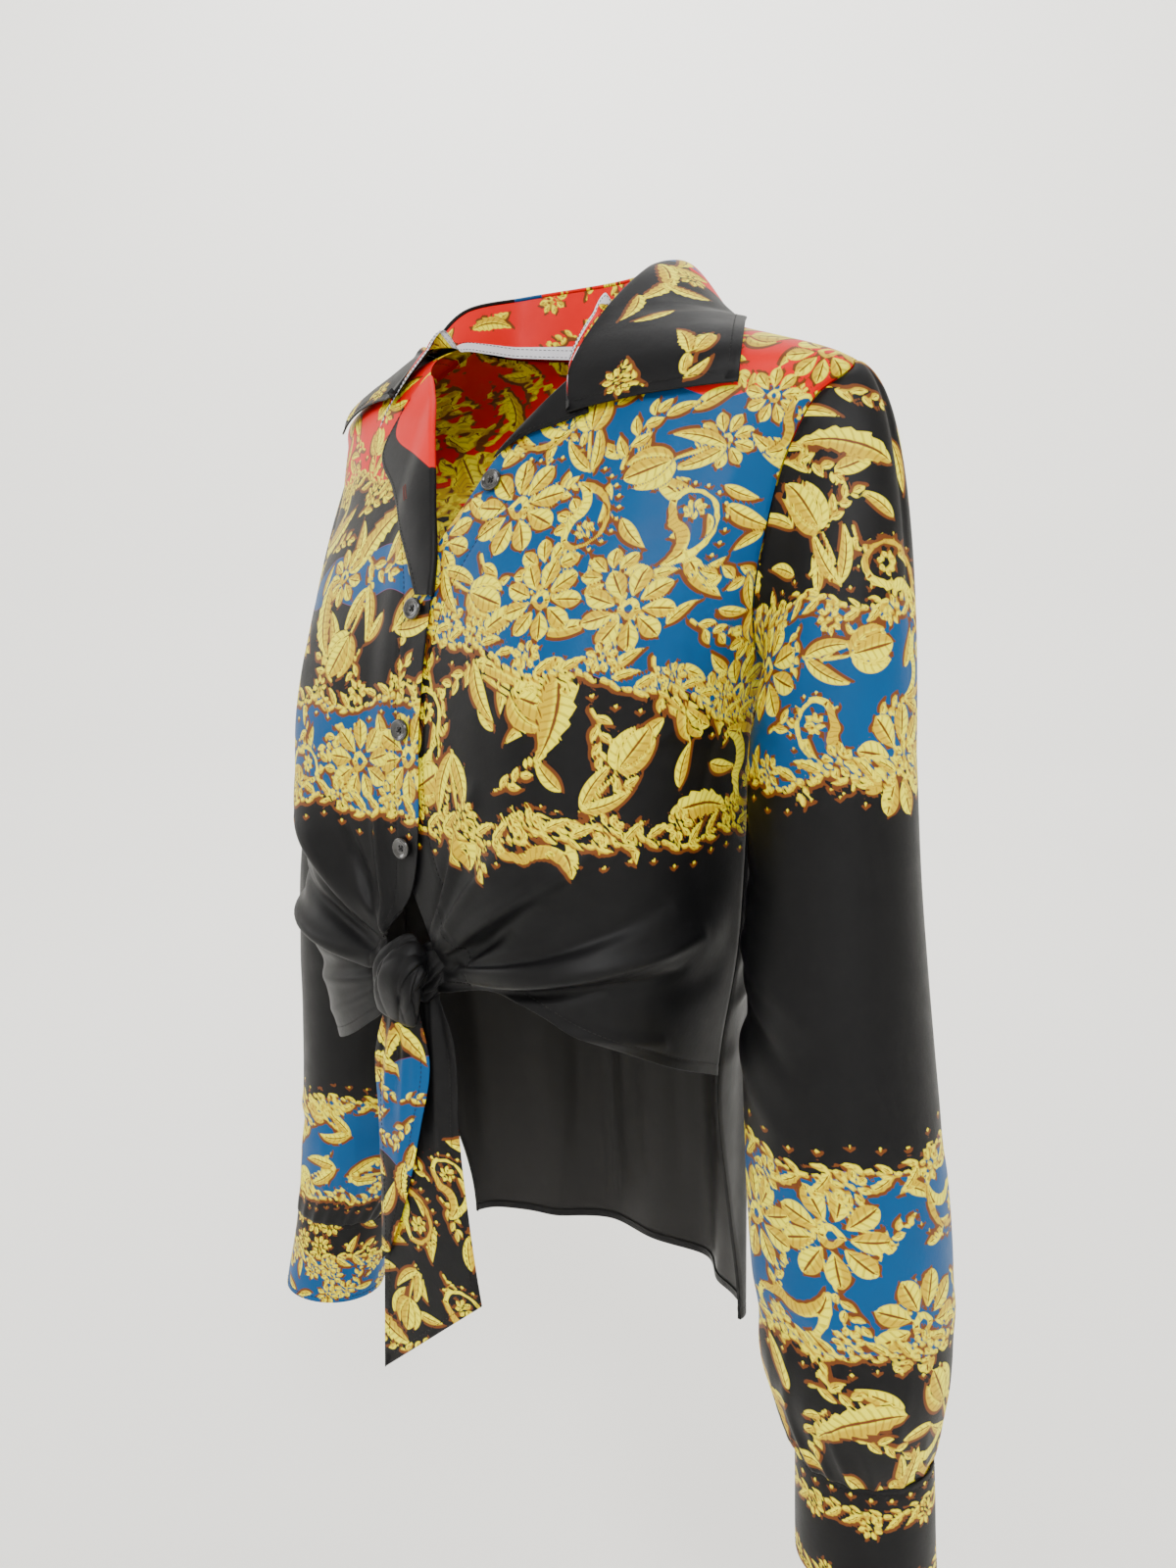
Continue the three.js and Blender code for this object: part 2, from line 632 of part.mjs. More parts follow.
// How far the fall rolls out and up from the fold line, and how much more on a tall stand
const ROLL = { out: 9, moreOut: 8, up: 2, moreUp: 3 };
const TALL_STAND = 30;
function fallSurface(share, v) {
  const { fold, edge, seam } = collarAt(share);
  const outward = edge.clone().sub(fold).setZ(0).normalize();
  const rise = clamp01((fold.z - seam.z) / TALL_STAND);
  const bend = fold
    .clone()
    .addScaledVector(outward, ROLL.out + ROLL.moreOut * rise)
    .add(new THREE.Vector3(0, 0, ROLL.up + ROLL.moreUp * rise));
  const point = fold
    .clone()
    .multiplyScalar((1 - v) ** 2)
    .addScaledVector(bend, 2 * v * (1 - v))
    .addScaledVector(edge, v ** 2);
  return keepOut(point, LEAF_CLEAR);
}

// Turned-out corners of the fronts, made from the front's points moved out
const LAPEL_LIFT = 2.6;
// Stretch of each inner edge that is turned out
const LAPEL_LEFT_SPAN = { from: 0.17, to: 0.325 };
const LAPEL_RIGHT_SPAN = { from: 0.15, to: 0.53 };
const LAPEL_LEFT_OUTER = [
  { share: 0, out: 78, drop: 69 },
  { share: 0.35, out: 60, drop: 74 },
  { share: 0.7, out: 43, drop: 79 },
  { share: 1, out: 29, drop: 88 },
];
const LAPEL_RIGHT_OUTER = [
  { share: 0, out: 58, drop: 48 },
  { share: 0.2, out: 68, drop: 76 },
  { share: 0.45, out: 46, drop: 98 },
  { share: 0.65, out: 30, drop: 116 },
  { share: 0.85, out: 12, drop: 138 },
  { share: 1, out: 0, drop: 158 },
];
function lapelSurface(side, inner, outer, span) {
  const innerEdge = edgeOut(inner);
  const start = (share) => innerEdge(span.from + (span.to - span.from) * share);
  const end = edgeOut(outer);
  const across = (a, b) => (share) => ({
    angle: a.angle + (b.angle - a.angle) * share,
    drop: a.drop + (b.drop - a.drop) * share,
  });
  const place = fill(across(start(0), end(0)), across(start(1), end(1)), start, end);
  return (u, v) => {
    const { angle, drop } = place(u, v);
    return frontPoint(side, [], angle, drop, LAPEL_LIFT);
  };
}

// Rounded solid along a path: section half sizes change by a table
const KNOT_STEPS = 14;
const KNOT_PLEATS = 5;
function loft(path, sections) {
  const around = KNOT_STEPS;
  const curve = new THREE.CatmullRomCurve3(path.map((point) => new THREE.Vector3(...point)));
  const steps = sections.length - 1;
  const position = [];
  const index = [];
  const front = new THREE.Vector3(0, -1, 0);
  sections.forEach((section, j) => {
    const middle = curve.getPoint(j / steps);
    const along = curve.getTangent(j / steps);
    const sideways = along.clone().cross(front).normalize();
    const outward = sideways.clone().cross(along).normalize();
    for (let i = 0; i < around; i += 1) {
      const angle = (2 * Math.PI * i) / around;
      const pleat = 1 + section.pleat * Math.cos(KNOT_PLEATS * angle + section.twist);
      const point = middle
        .clone()
        .addScaledVector(sideways, Math.cos(angle) * section.wide * pleat)
        .addScaledVector(outward, Math.sin(angle) * section.deep * pleat);
      position.push(point.x, point.y, point.z);
    }
  });
  for (let j = 0; j < steps; j += 1) {
    for (let i = 0; i < around; i += 1) {
      const next = (i + 1) % around;
      const [a, b] = [j * around + i, j * around + next];
      const [c, d] = [a + around, b + around];
      index.push(a, b, d, a, d, c);
    }
  }
  const firstEnd = position.length / 3;
  const ends = [curve.getPoint(0), curve.getPoint(1)];
  ends.forEach((end) => position.push(end.x, end.y, end.z));
  for (let i = 0; i < around; i += 1) {
    const next = (i + 1) % around;
    index.push(firstEnd, next, i);
    index.push(firstEnd + 1, steps * around + i, steps * around + next);
  }
  return facingOut(position, index);
}

const KNOT_WRAP_PATH = [
  [-9.4, -113.4, -347.6],
  [-6.4, -123.4, -348.6],
  [3.6, -128.4, -356.6],
  [7.6, -126.4, -367.6],
  [4.6, -118.4, -376.6],
];
const KNOT_WRAP_SECTIONS = [
  { wide: 5, deep: 4, pleat: 0, twist: 0 },
  { wide: 11, deep: 7, pleat: 0.06, twist: 0.4 },
  { wide: 14, deep: 8, pleat: 0.07, twist: 0.8 },
  { wide: 15, deep: 8, pleat: 0.07, twist: 1.2 },
  { wide: 14, deep: 8, pleat: 0.07, twist: 1.6 },
  { wide: 10, deep: 6, pleat: 0.05, twist: 2 },
  { wide: 5, deep: 4, pleat: 0, twist: 2.4 },
];
const KNOT_CORE_PATH = [
  [13.5, -107.5, -352.5],
  [4.5, -109.5, -356.5],
  [-5.5, -109.5, -362.5],
  [-11.5, -110.5, -372.5],
];
const KNOT_CORE_SECTIONS = [
  { wide: 5, deep: 3, pleat: 0, twist: 0 },
  { wide: 10, deep: 6, pleat: 0.06, twist: 0.5 },
  { wide: 12, deep: 7, pleat: 0.06, twist: 1 },
  { wide: 10, deep: 6, pleat: 0.06, twist: 1.5 },
  { wide: 5, deep: 3, pleat: 0, twist: 2 },
];

// Free ends below the knot: middle line, half width, and how far the width turns from X
const TAIL_FRONT = [
  { drop: 379.2, x: -8, y: -121.6, half: 12, turn: 4, curl: 2 },
  { drop: 410, x: -10, y: -121, half: 19.5, turn: 6, curl: 3 },
  { drop: 445, x: -13, y: -121, half: 16, turn: 4, curl: 3 },
  { drop: 495, x: -20, y: -120, half: 9.5, turn: 2, curl: 2 },
  { drop: 530, x: -27, y: -119, half: 3, turn: 0, curl: 0 },
];
const TAIL_BACK = [
  { drop: 375.5, x: -3, y: -110.5, half: 12, turn: 6, curl: 2 },
  { drop: 400, x: -3, y: -112, half: 22, turn: 8, curl: 3 },
  { drop: 452, x: -4, y: -113, half: 26, turn: 8, curl: 3 },
  { drop: 507, x: -1, y: -113, half: 30, turn: 8, curl: 2 },
  { drop: 572, x: 3, y: -113, half: 35, turn: 8, curl: 1 },
];
const TAIL_FRONT_SLANT = 3; // the end hangs this much lower at one side
const TAIL_BACK_SLANT = 29;
function tailSurface(rows, slant) {
  const at = reader(rows, 'drop');
  const [first, last] = [rows[0].drop, rows[rows.length - 1].drop];
  return (u, v) => {
    const row = at(first + (last - first) * v);
    const across = 2 * u - 1;
    const turn = THREE.MathUtils.degToRad(row.turn);
    const lower = slant * across * v ** 3;
    return new THREE.Vector3(
      row.x + row.half * across * Math.cos(turn),
      row.y + row.half * across * Math.sin(turn) + row.curl * (across ** 2 - 0.4),
      -(first + (last - first) * v) + lower,
    );
  };
}

// Sewn button: a dished disc
const BUTTON_STEPS = 12;
function buttonGeometry() {
  const outer = BUTTON_WIDE / 2;
  const profile = [
    [0, 0], [outer - 0.6, 0], [outer, 0.7], [outer, 1.7],
    [outer - 0.8, BUTTON_THICK], [outer - 1.8, BUTTON_THICK - 0.2],
    [outer - 2.6, BUTTON_THICK - 0.9], [0, BUTTON_THICK - 0.9],
  ];
  const points = profile.map(([radius, high]) => new THREE.Vector2(radius, high));
  return new THREE.LatheGeometry(points, BUTTON_STEPS);
}

const COLOURS = {
  print: '#2a5f8f',
  plain: '#1b1b1e',
  red: '#d8331f',
  gold: '#d9b63a',
  button: '#101012',
};
const cloth = (colour) =>
  new THREE.MeshStandardMaterial({ color: colour, roughness: 0.62, metalness: 0 });
const shirt = new THREE.Group();

function add(name, geometry, material) {
  const mesh = new THREE.Mesh(geometry, material);
  mesh.name = name;
  shirt.add(mesh);
  return mesh;
}

function addButton(name, point, outward) {
  const mesh = add(
    name,
    buttonGeometry(),
    new THREE.MeshStandardMaterial({ color: COLOURS.button, roughness: 0.25, metalness: 0 }),
  );
  mesh.quaternion.setFromUnitVectors(new THREE.Vector3(0, 1, 0), outward);
  mesh.position.copy(point);
}

// Place of a button on a front: point of its outer face and the way out of it
function onFront(side, folds, out, drop) {
  const angle = angleOut(out, drop);
  const clear = CLOTH / 2 + SEAM_GAP + BUTTON_SETTLE;
  const here = frontPoint(side, folds, angle, drop, clear);
  const further = frontPoint(side, folds, angle, drop, clear + 1);
  return [here, further.sub(here).normalize()];
}

// Place of a button on a cuff: behind the wrist, half way down
function onCuff(surface) {
  const here = surface(CUFF_BUTTON_TURN, 0.5);
  const middle = surface(CUFF_BUTTON_TURN + 0.5, 0.5).add(here).multiplyScalar(0.5);
  const outward = here.clone().sub(middle).setZ(0).normalize();
  here.addScaledVector(outward, CUFF_CLOTH / 2 + SEAM_GAP + BUTTON_SETTLE);
  return [here, outward];
}

const frontLeft = frontSurface(1, INNER_LEFT, HEM_LEFT, FOLDS_LEFT);
const frontRight = frontSurface(-1, INNER_RIGHT, HEM_RIGHT, FOLDS_RIGHT);
add('front_left', wall(grid(20, 27, frontLeft), CLOTH), cloth(COLOURS.print));
add('front_right', wall(grid(20, 27, frontRight), CLOTH), cloth(COLOURS.print));
add('back', wall(grid(26, 22, backSurface()), CLOTH), cloth(COLOURS.red));

const lapelLeft = lapelSurface(1, INNER_LEFT, LAPEL_LEFT_OUTER, LAPEL_LEFT_SPAN);
const lapelRight = lapelSurface(-1, INNER_RIGHT, LAPEL_RIGHT_OUTER, LAPEL_RIGHT_SPAN);
add('lapel_left', wall(grid(4, 9, lapelLeft), CLOTH), cloth(COLOURS.plain));
add('lapel_right', wall(grid(5, 12, lapelRight), CLOTH), cloth(COLOURS.plain));

add('collar_stand', wall(grid(28, 3, standSurface), CLOTH), cloth(COLOURS.red));
add('collar_fall', wall(grid(30, 6, fallSurface), CLOTH), cloth(COLOURS.plain));

const ROUND_STEPS = 20;
function tubeGrid(down, surface) {
  return grid(ROUND_STEPS, down, surface).map((row) => row.slice(0, ROUND_STEPS));
}
const sleeveLeft = sleeveSurface(1, SLEEVE_LEFT);
const sleeveRight = sleeveSurface(-1, SLEEVE_RIGHT);
add('sleeve_left', wall(tubeGrid(20, sleeveLeft), CLOTH, true), cloth(COLOURS.print));
add('sleeve_right', wall(tubeGrid(20, sleeveRight), CLOTH, true), cloth(COLOURS.print));
const cuffLeft = cuffSurface(1, CUFF_LEFT);
const cuffRight = cuffSurface(-1, CUFF_RIGHT);
add('cuff_left', wall(tubeGrid(3, cuffLeft), CUFF_CLOTH, true), cloth(COLOURS.plain));
add('cuff_right', wall(tubeGrid(3, cuffRight), CUFF_CLOTH, true), cloth(COLOURS.plain));

add('knot_wrap', loft(KNOT_WRAP_PATH, KNOT_WRAP_SECTIONS), cloth(COLOURS.plain));
add('knot_core', loft(KNOT_CORE_PATH, KNOT_CORE_SECTIONS), cloth(COLOURS.plain));
add('tail_front', wall(grid(4, 12, tailSurface(TAIL_FRONT, TAIL_FRONT_SLANT)), CLOTH), cloth(COLOURS.gold));
add('tail_back', wall(grid(5, 14, tailSurface(TAIL_BACK, TAIL_BACK_SLANT)), CLOTH), cloth(COLOURS.plain));

const NECK_BUTTON = { out: 31, drop: 100 };
addButton('button_neck', ...onFront(1, FOLDS_LEFT, NECK_BUTTON.out, NECK_BUTTON.drop));
const CLOSED_BUTTON_OUT = 1;
const CLOSED_BUTTON_DROPS = [165, 228, 291];
CLOSED_BUTTON_DROPS.forEach((drop, i) =>
  addButton(`button_${i + 1}`, ...onFront(-1, FOLDS_RIGHT, CLOSED_BUTTON_OUT, drop)),
);
addButton('cuff_button_left', ...onCuff(cuffLeft));
addButton('cuff_button_right', ...onCuff(cuffRight));

export default shirt;
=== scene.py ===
"""Printed shirt with a tied front: cloth, print, sewing and buttons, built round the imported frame."""

import math

import bpy
import numpy as np
from mathutils import Matrix, Vector


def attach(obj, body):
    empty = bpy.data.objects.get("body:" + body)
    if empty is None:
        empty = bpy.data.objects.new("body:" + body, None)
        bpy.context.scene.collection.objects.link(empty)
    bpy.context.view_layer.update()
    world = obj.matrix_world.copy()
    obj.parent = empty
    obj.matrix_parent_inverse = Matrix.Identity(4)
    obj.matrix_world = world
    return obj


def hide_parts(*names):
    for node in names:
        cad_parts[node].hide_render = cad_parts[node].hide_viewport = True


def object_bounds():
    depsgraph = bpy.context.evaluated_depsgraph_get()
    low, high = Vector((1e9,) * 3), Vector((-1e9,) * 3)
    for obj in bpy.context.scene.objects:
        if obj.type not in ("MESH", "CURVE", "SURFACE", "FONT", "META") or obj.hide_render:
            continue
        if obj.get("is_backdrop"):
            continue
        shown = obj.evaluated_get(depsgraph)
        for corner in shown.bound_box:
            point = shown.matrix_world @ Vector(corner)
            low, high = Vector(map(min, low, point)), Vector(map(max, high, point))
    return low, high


bl_info = {
    "name": "Tied printed shirt",
    "version": (1, 0, 0),
    "blender": (4, 5, 0),
    "location": "View3D > Sidebar > Shirt",
    "description": "Builds a printed shirt with a tied front, its print, sewing and buttons",
    "category": "Add Mesh",
}

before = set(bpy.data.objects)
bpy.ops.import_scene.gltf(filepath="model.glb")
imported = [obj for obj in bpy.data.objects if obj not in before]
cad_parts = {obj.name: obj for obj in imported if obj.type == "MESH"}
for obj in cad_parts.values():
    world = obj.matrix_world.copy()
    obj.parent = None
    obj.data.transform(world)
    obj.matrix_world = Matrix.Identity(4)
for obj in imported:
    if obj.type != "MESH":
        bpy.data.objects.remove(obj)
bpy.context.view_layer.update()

MM = 0.001

# Sizes and tables in millimetres. Most are the same as in the part's source; the right hem
# and the knot differ a little.
BUST_APART = 92
BUST_WIDE = 52
BACK_SQUARE = 2.05
SHOULDER_DROP = 42
UNDERARM_DROP = 192
SIDE_DROP = 423
BACK_HEM_DROP = 590
BACK_HEM_SAG = 6
VENT_BACK_ANGLE = 112
SEAM_ANGLE = 0.7
LAP_LIFT = 2.3
LAP_WIDE = 16
KNOT_DROP = 357
ARMHOLE_SHARE = 0.42
BACK_ARMHOLE_SHARE = 0.27
BACK_VENT_SHARE = 0.69
CAP_SHARE = 0.34
CUFF_LEFT = ((217, -6, -600), (220, -6, -659), 34)
CUFF_RIGHT = ((-209, 0, -600), (-217, -4, -659), 34)
BACK_FOLD_GROWS = 160
SHOULDER_SEAM_BACK = 1.2
SLEEVE_RADIUS = 46
HEAD_GAP = 1.1
HEAD_GAP_BACK = 1.9
SHELL_OUT = 0.5  # the finished cloth lies this far outside the middle of the solid wall
NECK_FADE = 30
STROKE_STEPS = 10
CELL = 12.0
STROKE_GAP = 0.7
FACING_SLOPE = 0.8
FACING_FROM = 50.0
STRIP_WIDE = 7.0
STAND_TALL = 36.0
SLEEVE_FINE = 1.4
SLEEVE_FINE_FAR = 2.0
BACK_FINE = 2.0
PLACKET_WIDE = 25
HEM_WIDE = 6
LAPEL_LIFT = 2.6
CUFF_LAP = 16
CUFF_OPEN_TURN = 0.645
BUTTON_CLEAR = 1.3
HOLE_OUT = 0.972
HOLE_RADIUS = 0.75
CUFF_BUTTON_TURN = 0.66
CUFF_BUTTON_CLEAR = 2.4
NOT_THERE = -9.0  # value of a print's field where the print has nothing
COLLAR_SEWN = 5.0
CREASE_STEPS = 24
CREASE_REACH = 3.2
CUFF_SEWN = 3.0
TAIL_SEWN = 4.5
TUCK_STEP = 1.2
LAPEL_LEFT_SIZE = (60, 50)
LAPEL_RIGHT_SIZE = (60, 130)
FRONT_SIZE = (215, 400)
BACK_SIZE = (520, 600)
SLEEVE_SIZE = (290, 580)
STAND_SIZE = (330, 38)
FALL_SIZE = (420, 84)
CUFF_SIZE = (230, 59)
TAIL_SIZE = (72, 210)
KNOT_GRID = (84, 124)
BUTTON_AROUND = 72
MOTIF_BEND = {"sprig": 40, "paisley": 1, "tulip": 20, "fern": 55}
CREASE_COLUMNS = "x0 y0 bend_x bend_y x1 y1 high wide lean"
EDGE_COLUMNS = "share out drop"


class Rows:
    """A table with named columns, read smoothly by its first column."""

    def __init__(self, names, *lines):
        self.names = names.split()
        self.values = np.array(lines, float)

    def column(self, name):
        return self.values[:, self.names.index(name)]

    def at(self, where):
        """Value of each other column at each place, with smooth slopes, as a dict."""
        keys = self.values[:, 0]
        where = np.asarray(where, float)
        i = np.clip(np.searchsorted(keys, where, side="left") - 1, 0, len(keys) - 2)
        span = keys[i + 1] - keys[i]
        t = np.clip((where - keys[i]) / span, 0, 1)
        before = np.maximum(np.arange(len(keys)) - 1, 0)
        after = np.minimum(np.arange(len(keys)) + 1, len(keys) - 1)
        found = {}
        for k, name in enumerate(self.names[1:], start=1):
            v = self.values[:, k]
            slope = (v[after] - v[before]) / (keys[after] - keys[before])
            found[name] = (
                v[i] * (2 * t**3 - 3 * t**2 + 1)
                + v[i + 1] * (3 * t**2 - 2 * t**3)
                + slope[i] * span * (t**3 - 2 * t**2 + t)
                + slope[i + 1] * span * (t**3 - t**2)
            )
        return found


BODY = Rows(
    "drop half front back bust square side mid",
    (0, 70, 4, 22, 0, 2.1, 0, 6),
    (8, 92, 32, 49, 0, 2.1, 1, 7),
    (20, 124, 55, 58, 0, 2.1, 4, 8),
    (42, 178, 76, 69, 0, 2, 8, 10),
    (62, 176, 87, 79, 0, 2, 8, 9),
    (99, 169, 97, 91, 1, 2, 6, 5),
    (135, 161, 106, 98, 4, 2.2, 4, 1),
    (170, 152, 112, 101, 8, 2.5, 2, 0),
    (200, 143.5, 116, 100, 12, 2.7, 0, 0),
    (235, 138.5, 118, 98, 14, 2.9, -2, 0),
    (290, 138, 117, 96, 14, 3, -3, 0),
    (350, 136, 112, 95, 10, 3, -5, 0),
    (417, 127, 104, 96, 5, 2.8, -7, 0),
    (500, 120, 100, 98, 0, 2.4, -2, 0),
    (600, 118, 100, 101, 0, 2.4, 0, 0),
)
ARMHOLE = Rows(
    "share drop front back",
    (0, 42, 90, 90),
    (0.2, 61, 76, 103),
    (0.4, 90, 72, 107),
    (0.6, 127, 73, 107),
    (0.8, 162, 76, 104),
    (0.93, 185, 83, 96),
    (1, 192, 90, 90),
)
INNER_LEFT = Rows(
    EDGE_COLUMNS,
    (0, 70, 0),
    (0.1, 69, 22),
    (0.18, 66, 44),
    (0.26, 47, 66),
    (0.33, 29, 87),
    (0.4, 18, 108),
    (0.48, 2, 138),
    (0.55, -9, 168),
    (0.65, -12, 225),
    (0.75, -8, 284),
    (0.8, 2, 314),
    (0.85, 14, 339),
    (0.92, 19, 353),
    (1, 17, 370),
)
INNER_RIGHT = Rows(
    EDGE_COLUMNS,
    (0, 70, 0),
    (0.1, 63, 20),
    (0.18, 44, 42),
    (0.26, 28, 63),
    (0.33, 16, 86),
    (0.4, 5, 110),
    (0.48, -7, 138),
    (0.55, -10, 168),
    (0.65, -12, 225),
    (0.75, -11, 284),
    (0.8, -4, 314),
    (0.85, 16, 339),
    (0.92, 21, 353),
    (1, 19, 372),
)
HEM_LEFT = Rows(
    "turn drop",
    (0, 370),
    (0.17, 363),
    (0.31, 367),
    (0.47, 383),
    (0.75, 407),
    (1, 423),
)
HEM_RIGHT = Rows(
    "turn drop",
    (0, 372),
    (0.06, 390),
    (0.14, 401),
    (0.25, 413),
    (0.38, 422),
    (0.5, 425),
    (0.75, 425),
    (1, 423),
)
FOLDS_LEFT = Rows(
    "out drop high wide",
    (84, 280, 6, 12),
    (124, 308, -4, 12),
    (138, 334, 5, 11),
    (124, 360, -4, 9),
)
FOLDS_RIGHT = Rows(
    "out drop high wide",
    (92, 276, 6, 12),
    (124, 304, -4, 13),
    (138, 345, 6, 12),
    (112, 378, -4, 9),
)
SLEEVE_LEFT = Rows(
    "drop x y radius",
    (236, 184.5, 3, 41.5),
    (300, 187, 2, 44),
    (353, 190, 0, 47.5),
    (403, 195, -2, 49.5),
    (453, 201, -4, 51),
    (503, 206, -5, 51),
    (553, 211, -6, 48),
    (582, 214, -6, 41),
    (599, 216, -6, 35.5),
)
SLEEVE_RIGHT = Rows(
    "drop x y radius",
    (236, -185, 6, 40),
    (300, -187.5, 8, 42),
    (353, -191, 10, 45.5),
    (403, -193, 12, 47),
    (453, -194, 13, 46.5),
    (503, -195, 12, 45.5),
    (553, -198, 8, 44),
    (582, -204, 4, 39),
    (599, -208, 1, 35.5),
)
BACK_TOP = Rows(
    "share angle drop",
    (0, 90, 42),
    (0.16, 90, 21),
    (0.32, 90, 1),
    (0.38, 132, 5),
    (0.5, 180, 9),
    (0.62, 228, 5),
    (0.68, 270, 1),
    (0.84, 270, 21),
    (1, 270, 42),
)
BACK_FOLDS = Rows(
    "angle high wide from",
    (118, 5, 7, 300),
    (140, -5, 8, 330),
    (158, 6, 8, 290),
    (178, -4, 9, 360),
    (197, 5, 8, 310),
    (217, -6, 8, 330),
    (240, 5, 8, 280),
)
SLEEVE_FOLDS = Rows(
    "drop high wide turn",
    (330, -2.5, 14, 0.62),
    (372, -3, 12, 0.42),
    (420, -2.5, 13, 0.7),
    (520, -2.5, 12, 0.3),
)
LAPEL_LEFT_OUTER = Rows(
    EDGE_COLUMNS,
    (0, 78, 69),
    (0.35, 60, 74),
    (0.7, 43, 79),
    (1, 29, 88),
)
LAPEL_RIGHT_OUTER = Rows(
    EDGE_COLUMNS,
    (0, 58, 48),
    (0.2, 68, 76),
    (0.45, 46, 98),
    (0.65, 30, 116),
    (0.85, 12, 138),
    (1, 0, 158),
)
TAIL_FRONT = Rows(
    "drop x y half turn curl",
    (379.2, -8, -121.6, 12, 4, 2),
    (410, -10, -121, 19.5, 6, 3),
    (445, -13, -121, 16, 4, 3),
    (495, -20, -120, 9.5, 2, 2),
    (530, -27, -119, 3, 0, 0),
)
TAIL_BACK = Rows(
    "drop x y half turn curl",
    (375.5, -3, -110.5, 12, 6, 2),
    (400, -3, -112, 22, 8, 3),
    (452, -4, -113, 26, 8, 3),
    (507, -1, -113, 30, 8, 2),
    (572, 3, -113, 35, 8, 1),
)
COLLAR = Rows(
    "share sx sy sz fx fy fz ex ey ez",
    (0, 70, -66, -52, 77, -79, -67, 154, -44, -57),
    (0.08, 65, -56, -38, 70, -69, -45, 151, -36, -38),
    (0.17, 63, -36, -18, 69, -42, -12, 138, -14, -24),
    (0.27, 64, -4, -2, 69, -2, 20, 116, 20, -12),
    (0.36, 55, 32, 0, 57, 38, 33, 82, 54, -13),
    (0.5, 0, 55, -3, 0, 62, 38, 0, 76, -15),
    (0.64, -55, 32, 0, -57, 38, 33, -78, 52, -17),
    (0.73, -64, -4, -2, -69, -2, 20, -98, 28, -19),
    (0.83, -59, -30, -19, -70, -30, -4, -110, 6, -30),
    (0.92, -62, -54, -41, -67, -52, -24, -120, -16, -43),
    (1, -68, -74, -63, -66, -69, -42, -126, -34, -55),
)
CREASES_LEFT = Rows(
    CREASE_COLUMNS,
    (17, 350, 32, 318, 56, 258, 4.2, 4.5, 0.6),
    (18, 352, 60, 322, 116, 292, 4.8, 5, 0.6),
    (20, 356, 84, 340, 164, 314, -3.6, 4, -0.5),
    (20, 362, 96, 350, 188, 334, 4.6, 4.6, 0.65),
    (21, 365, 92, 360, 176, 350, -3.2, 3, -0.3),
    (22, 358, 58, 338, 92, 312, -2.6, 3, 0.3),
    (17, 346, 24, 322, 36, 290, -2.4, 3, 0.3),
    (24, 369, 88, 376, 156, 392, 2.6, 4.2, 0.5),
    (20, 348, 36, 332, 70, 294, 2.0, 2.6, 0.4),
    (22, 360, 46, 351, 84, 343, 2.0, 2.4, 0.4),
    (25, 372, 60, 384, 96, 402, 1.6, 3.2, 0.4),
    (100, 300, 126, 286, 150, 262, 1.4, 5, 0.4),
    (96, 176, 112, 216, 108, 262, 1.0, 12, 0.2),
    (60, 196, 66, 230, 70, 268, -0.7, 10, 0),
    (148, 178, 140, 206, 128, 238, 1.2, 7, 0.4),
    (150, 96, 140, 130, 142, 168, 1.3, 7, 0.4),
    (132, 74, 124, 104, 128, 140, -0.8, 9, 0),
    (176, 210, 160, 224, 136, 232, 1.3, 5, 0.4),
    (186, 226, 176, 262, 180, 300, 1.0, 7, 0.3),
    (104, 60, 96, 84, 98, 112, 0.7, 8, 0),
    (40, 120, 46, 150, 42, 184, 0.5, 9, 0),
)
CREASES_RIGHT = Rows(
    CREASE_COLUMNS,
    (19, 350, 16, 316, 24, 262, 4.0, 4, 0.5),
    (20, 352, 44, 322, 88, 284, 4.8, 5, -0.6),
    (22, 356, 64, 338, 132, 314, -3.8, 4, 0.5),
    (22, 362, 72, 354, 156, 328, 4.4, 5, -0.6),
    (23, 365, 70, 366, 140, 352, -3.0, 3, 0.3),
    (24, 366, 66, 380, 118, 384, 2.8, 4.4, -0.4),
    (22, 370, 56, 392, 104, 408, 2.4, 4.4, 0.4),
    (20, 346, 30, 316, 48, 280, -2.4, 3, 0),
    (22, 352, 52, 340, 88, 316, 2.0, 2.6, -0.4),
    (22, 360, 44, 362, 80, 364, 1.8, 2.4, 0.4),
    (94, 170, 108, 214, 104, 258, 1.0, 12, 0.2),
    (150, 180, 142, 208, 130, 236, 1.1, 7, 0.4),
    (146, 100, 138, 134, 140, 170, 1.2, 7, 0.4),
    (184, 228, 178, 264, 182, 304, 1.0, 7, 0.3),
    (120, 70, 112, 98, 114, 130, -0.8, 9, 0),
    (176, 214, 158, 226, 138, 230, 1.2, 5, -0.3),
)
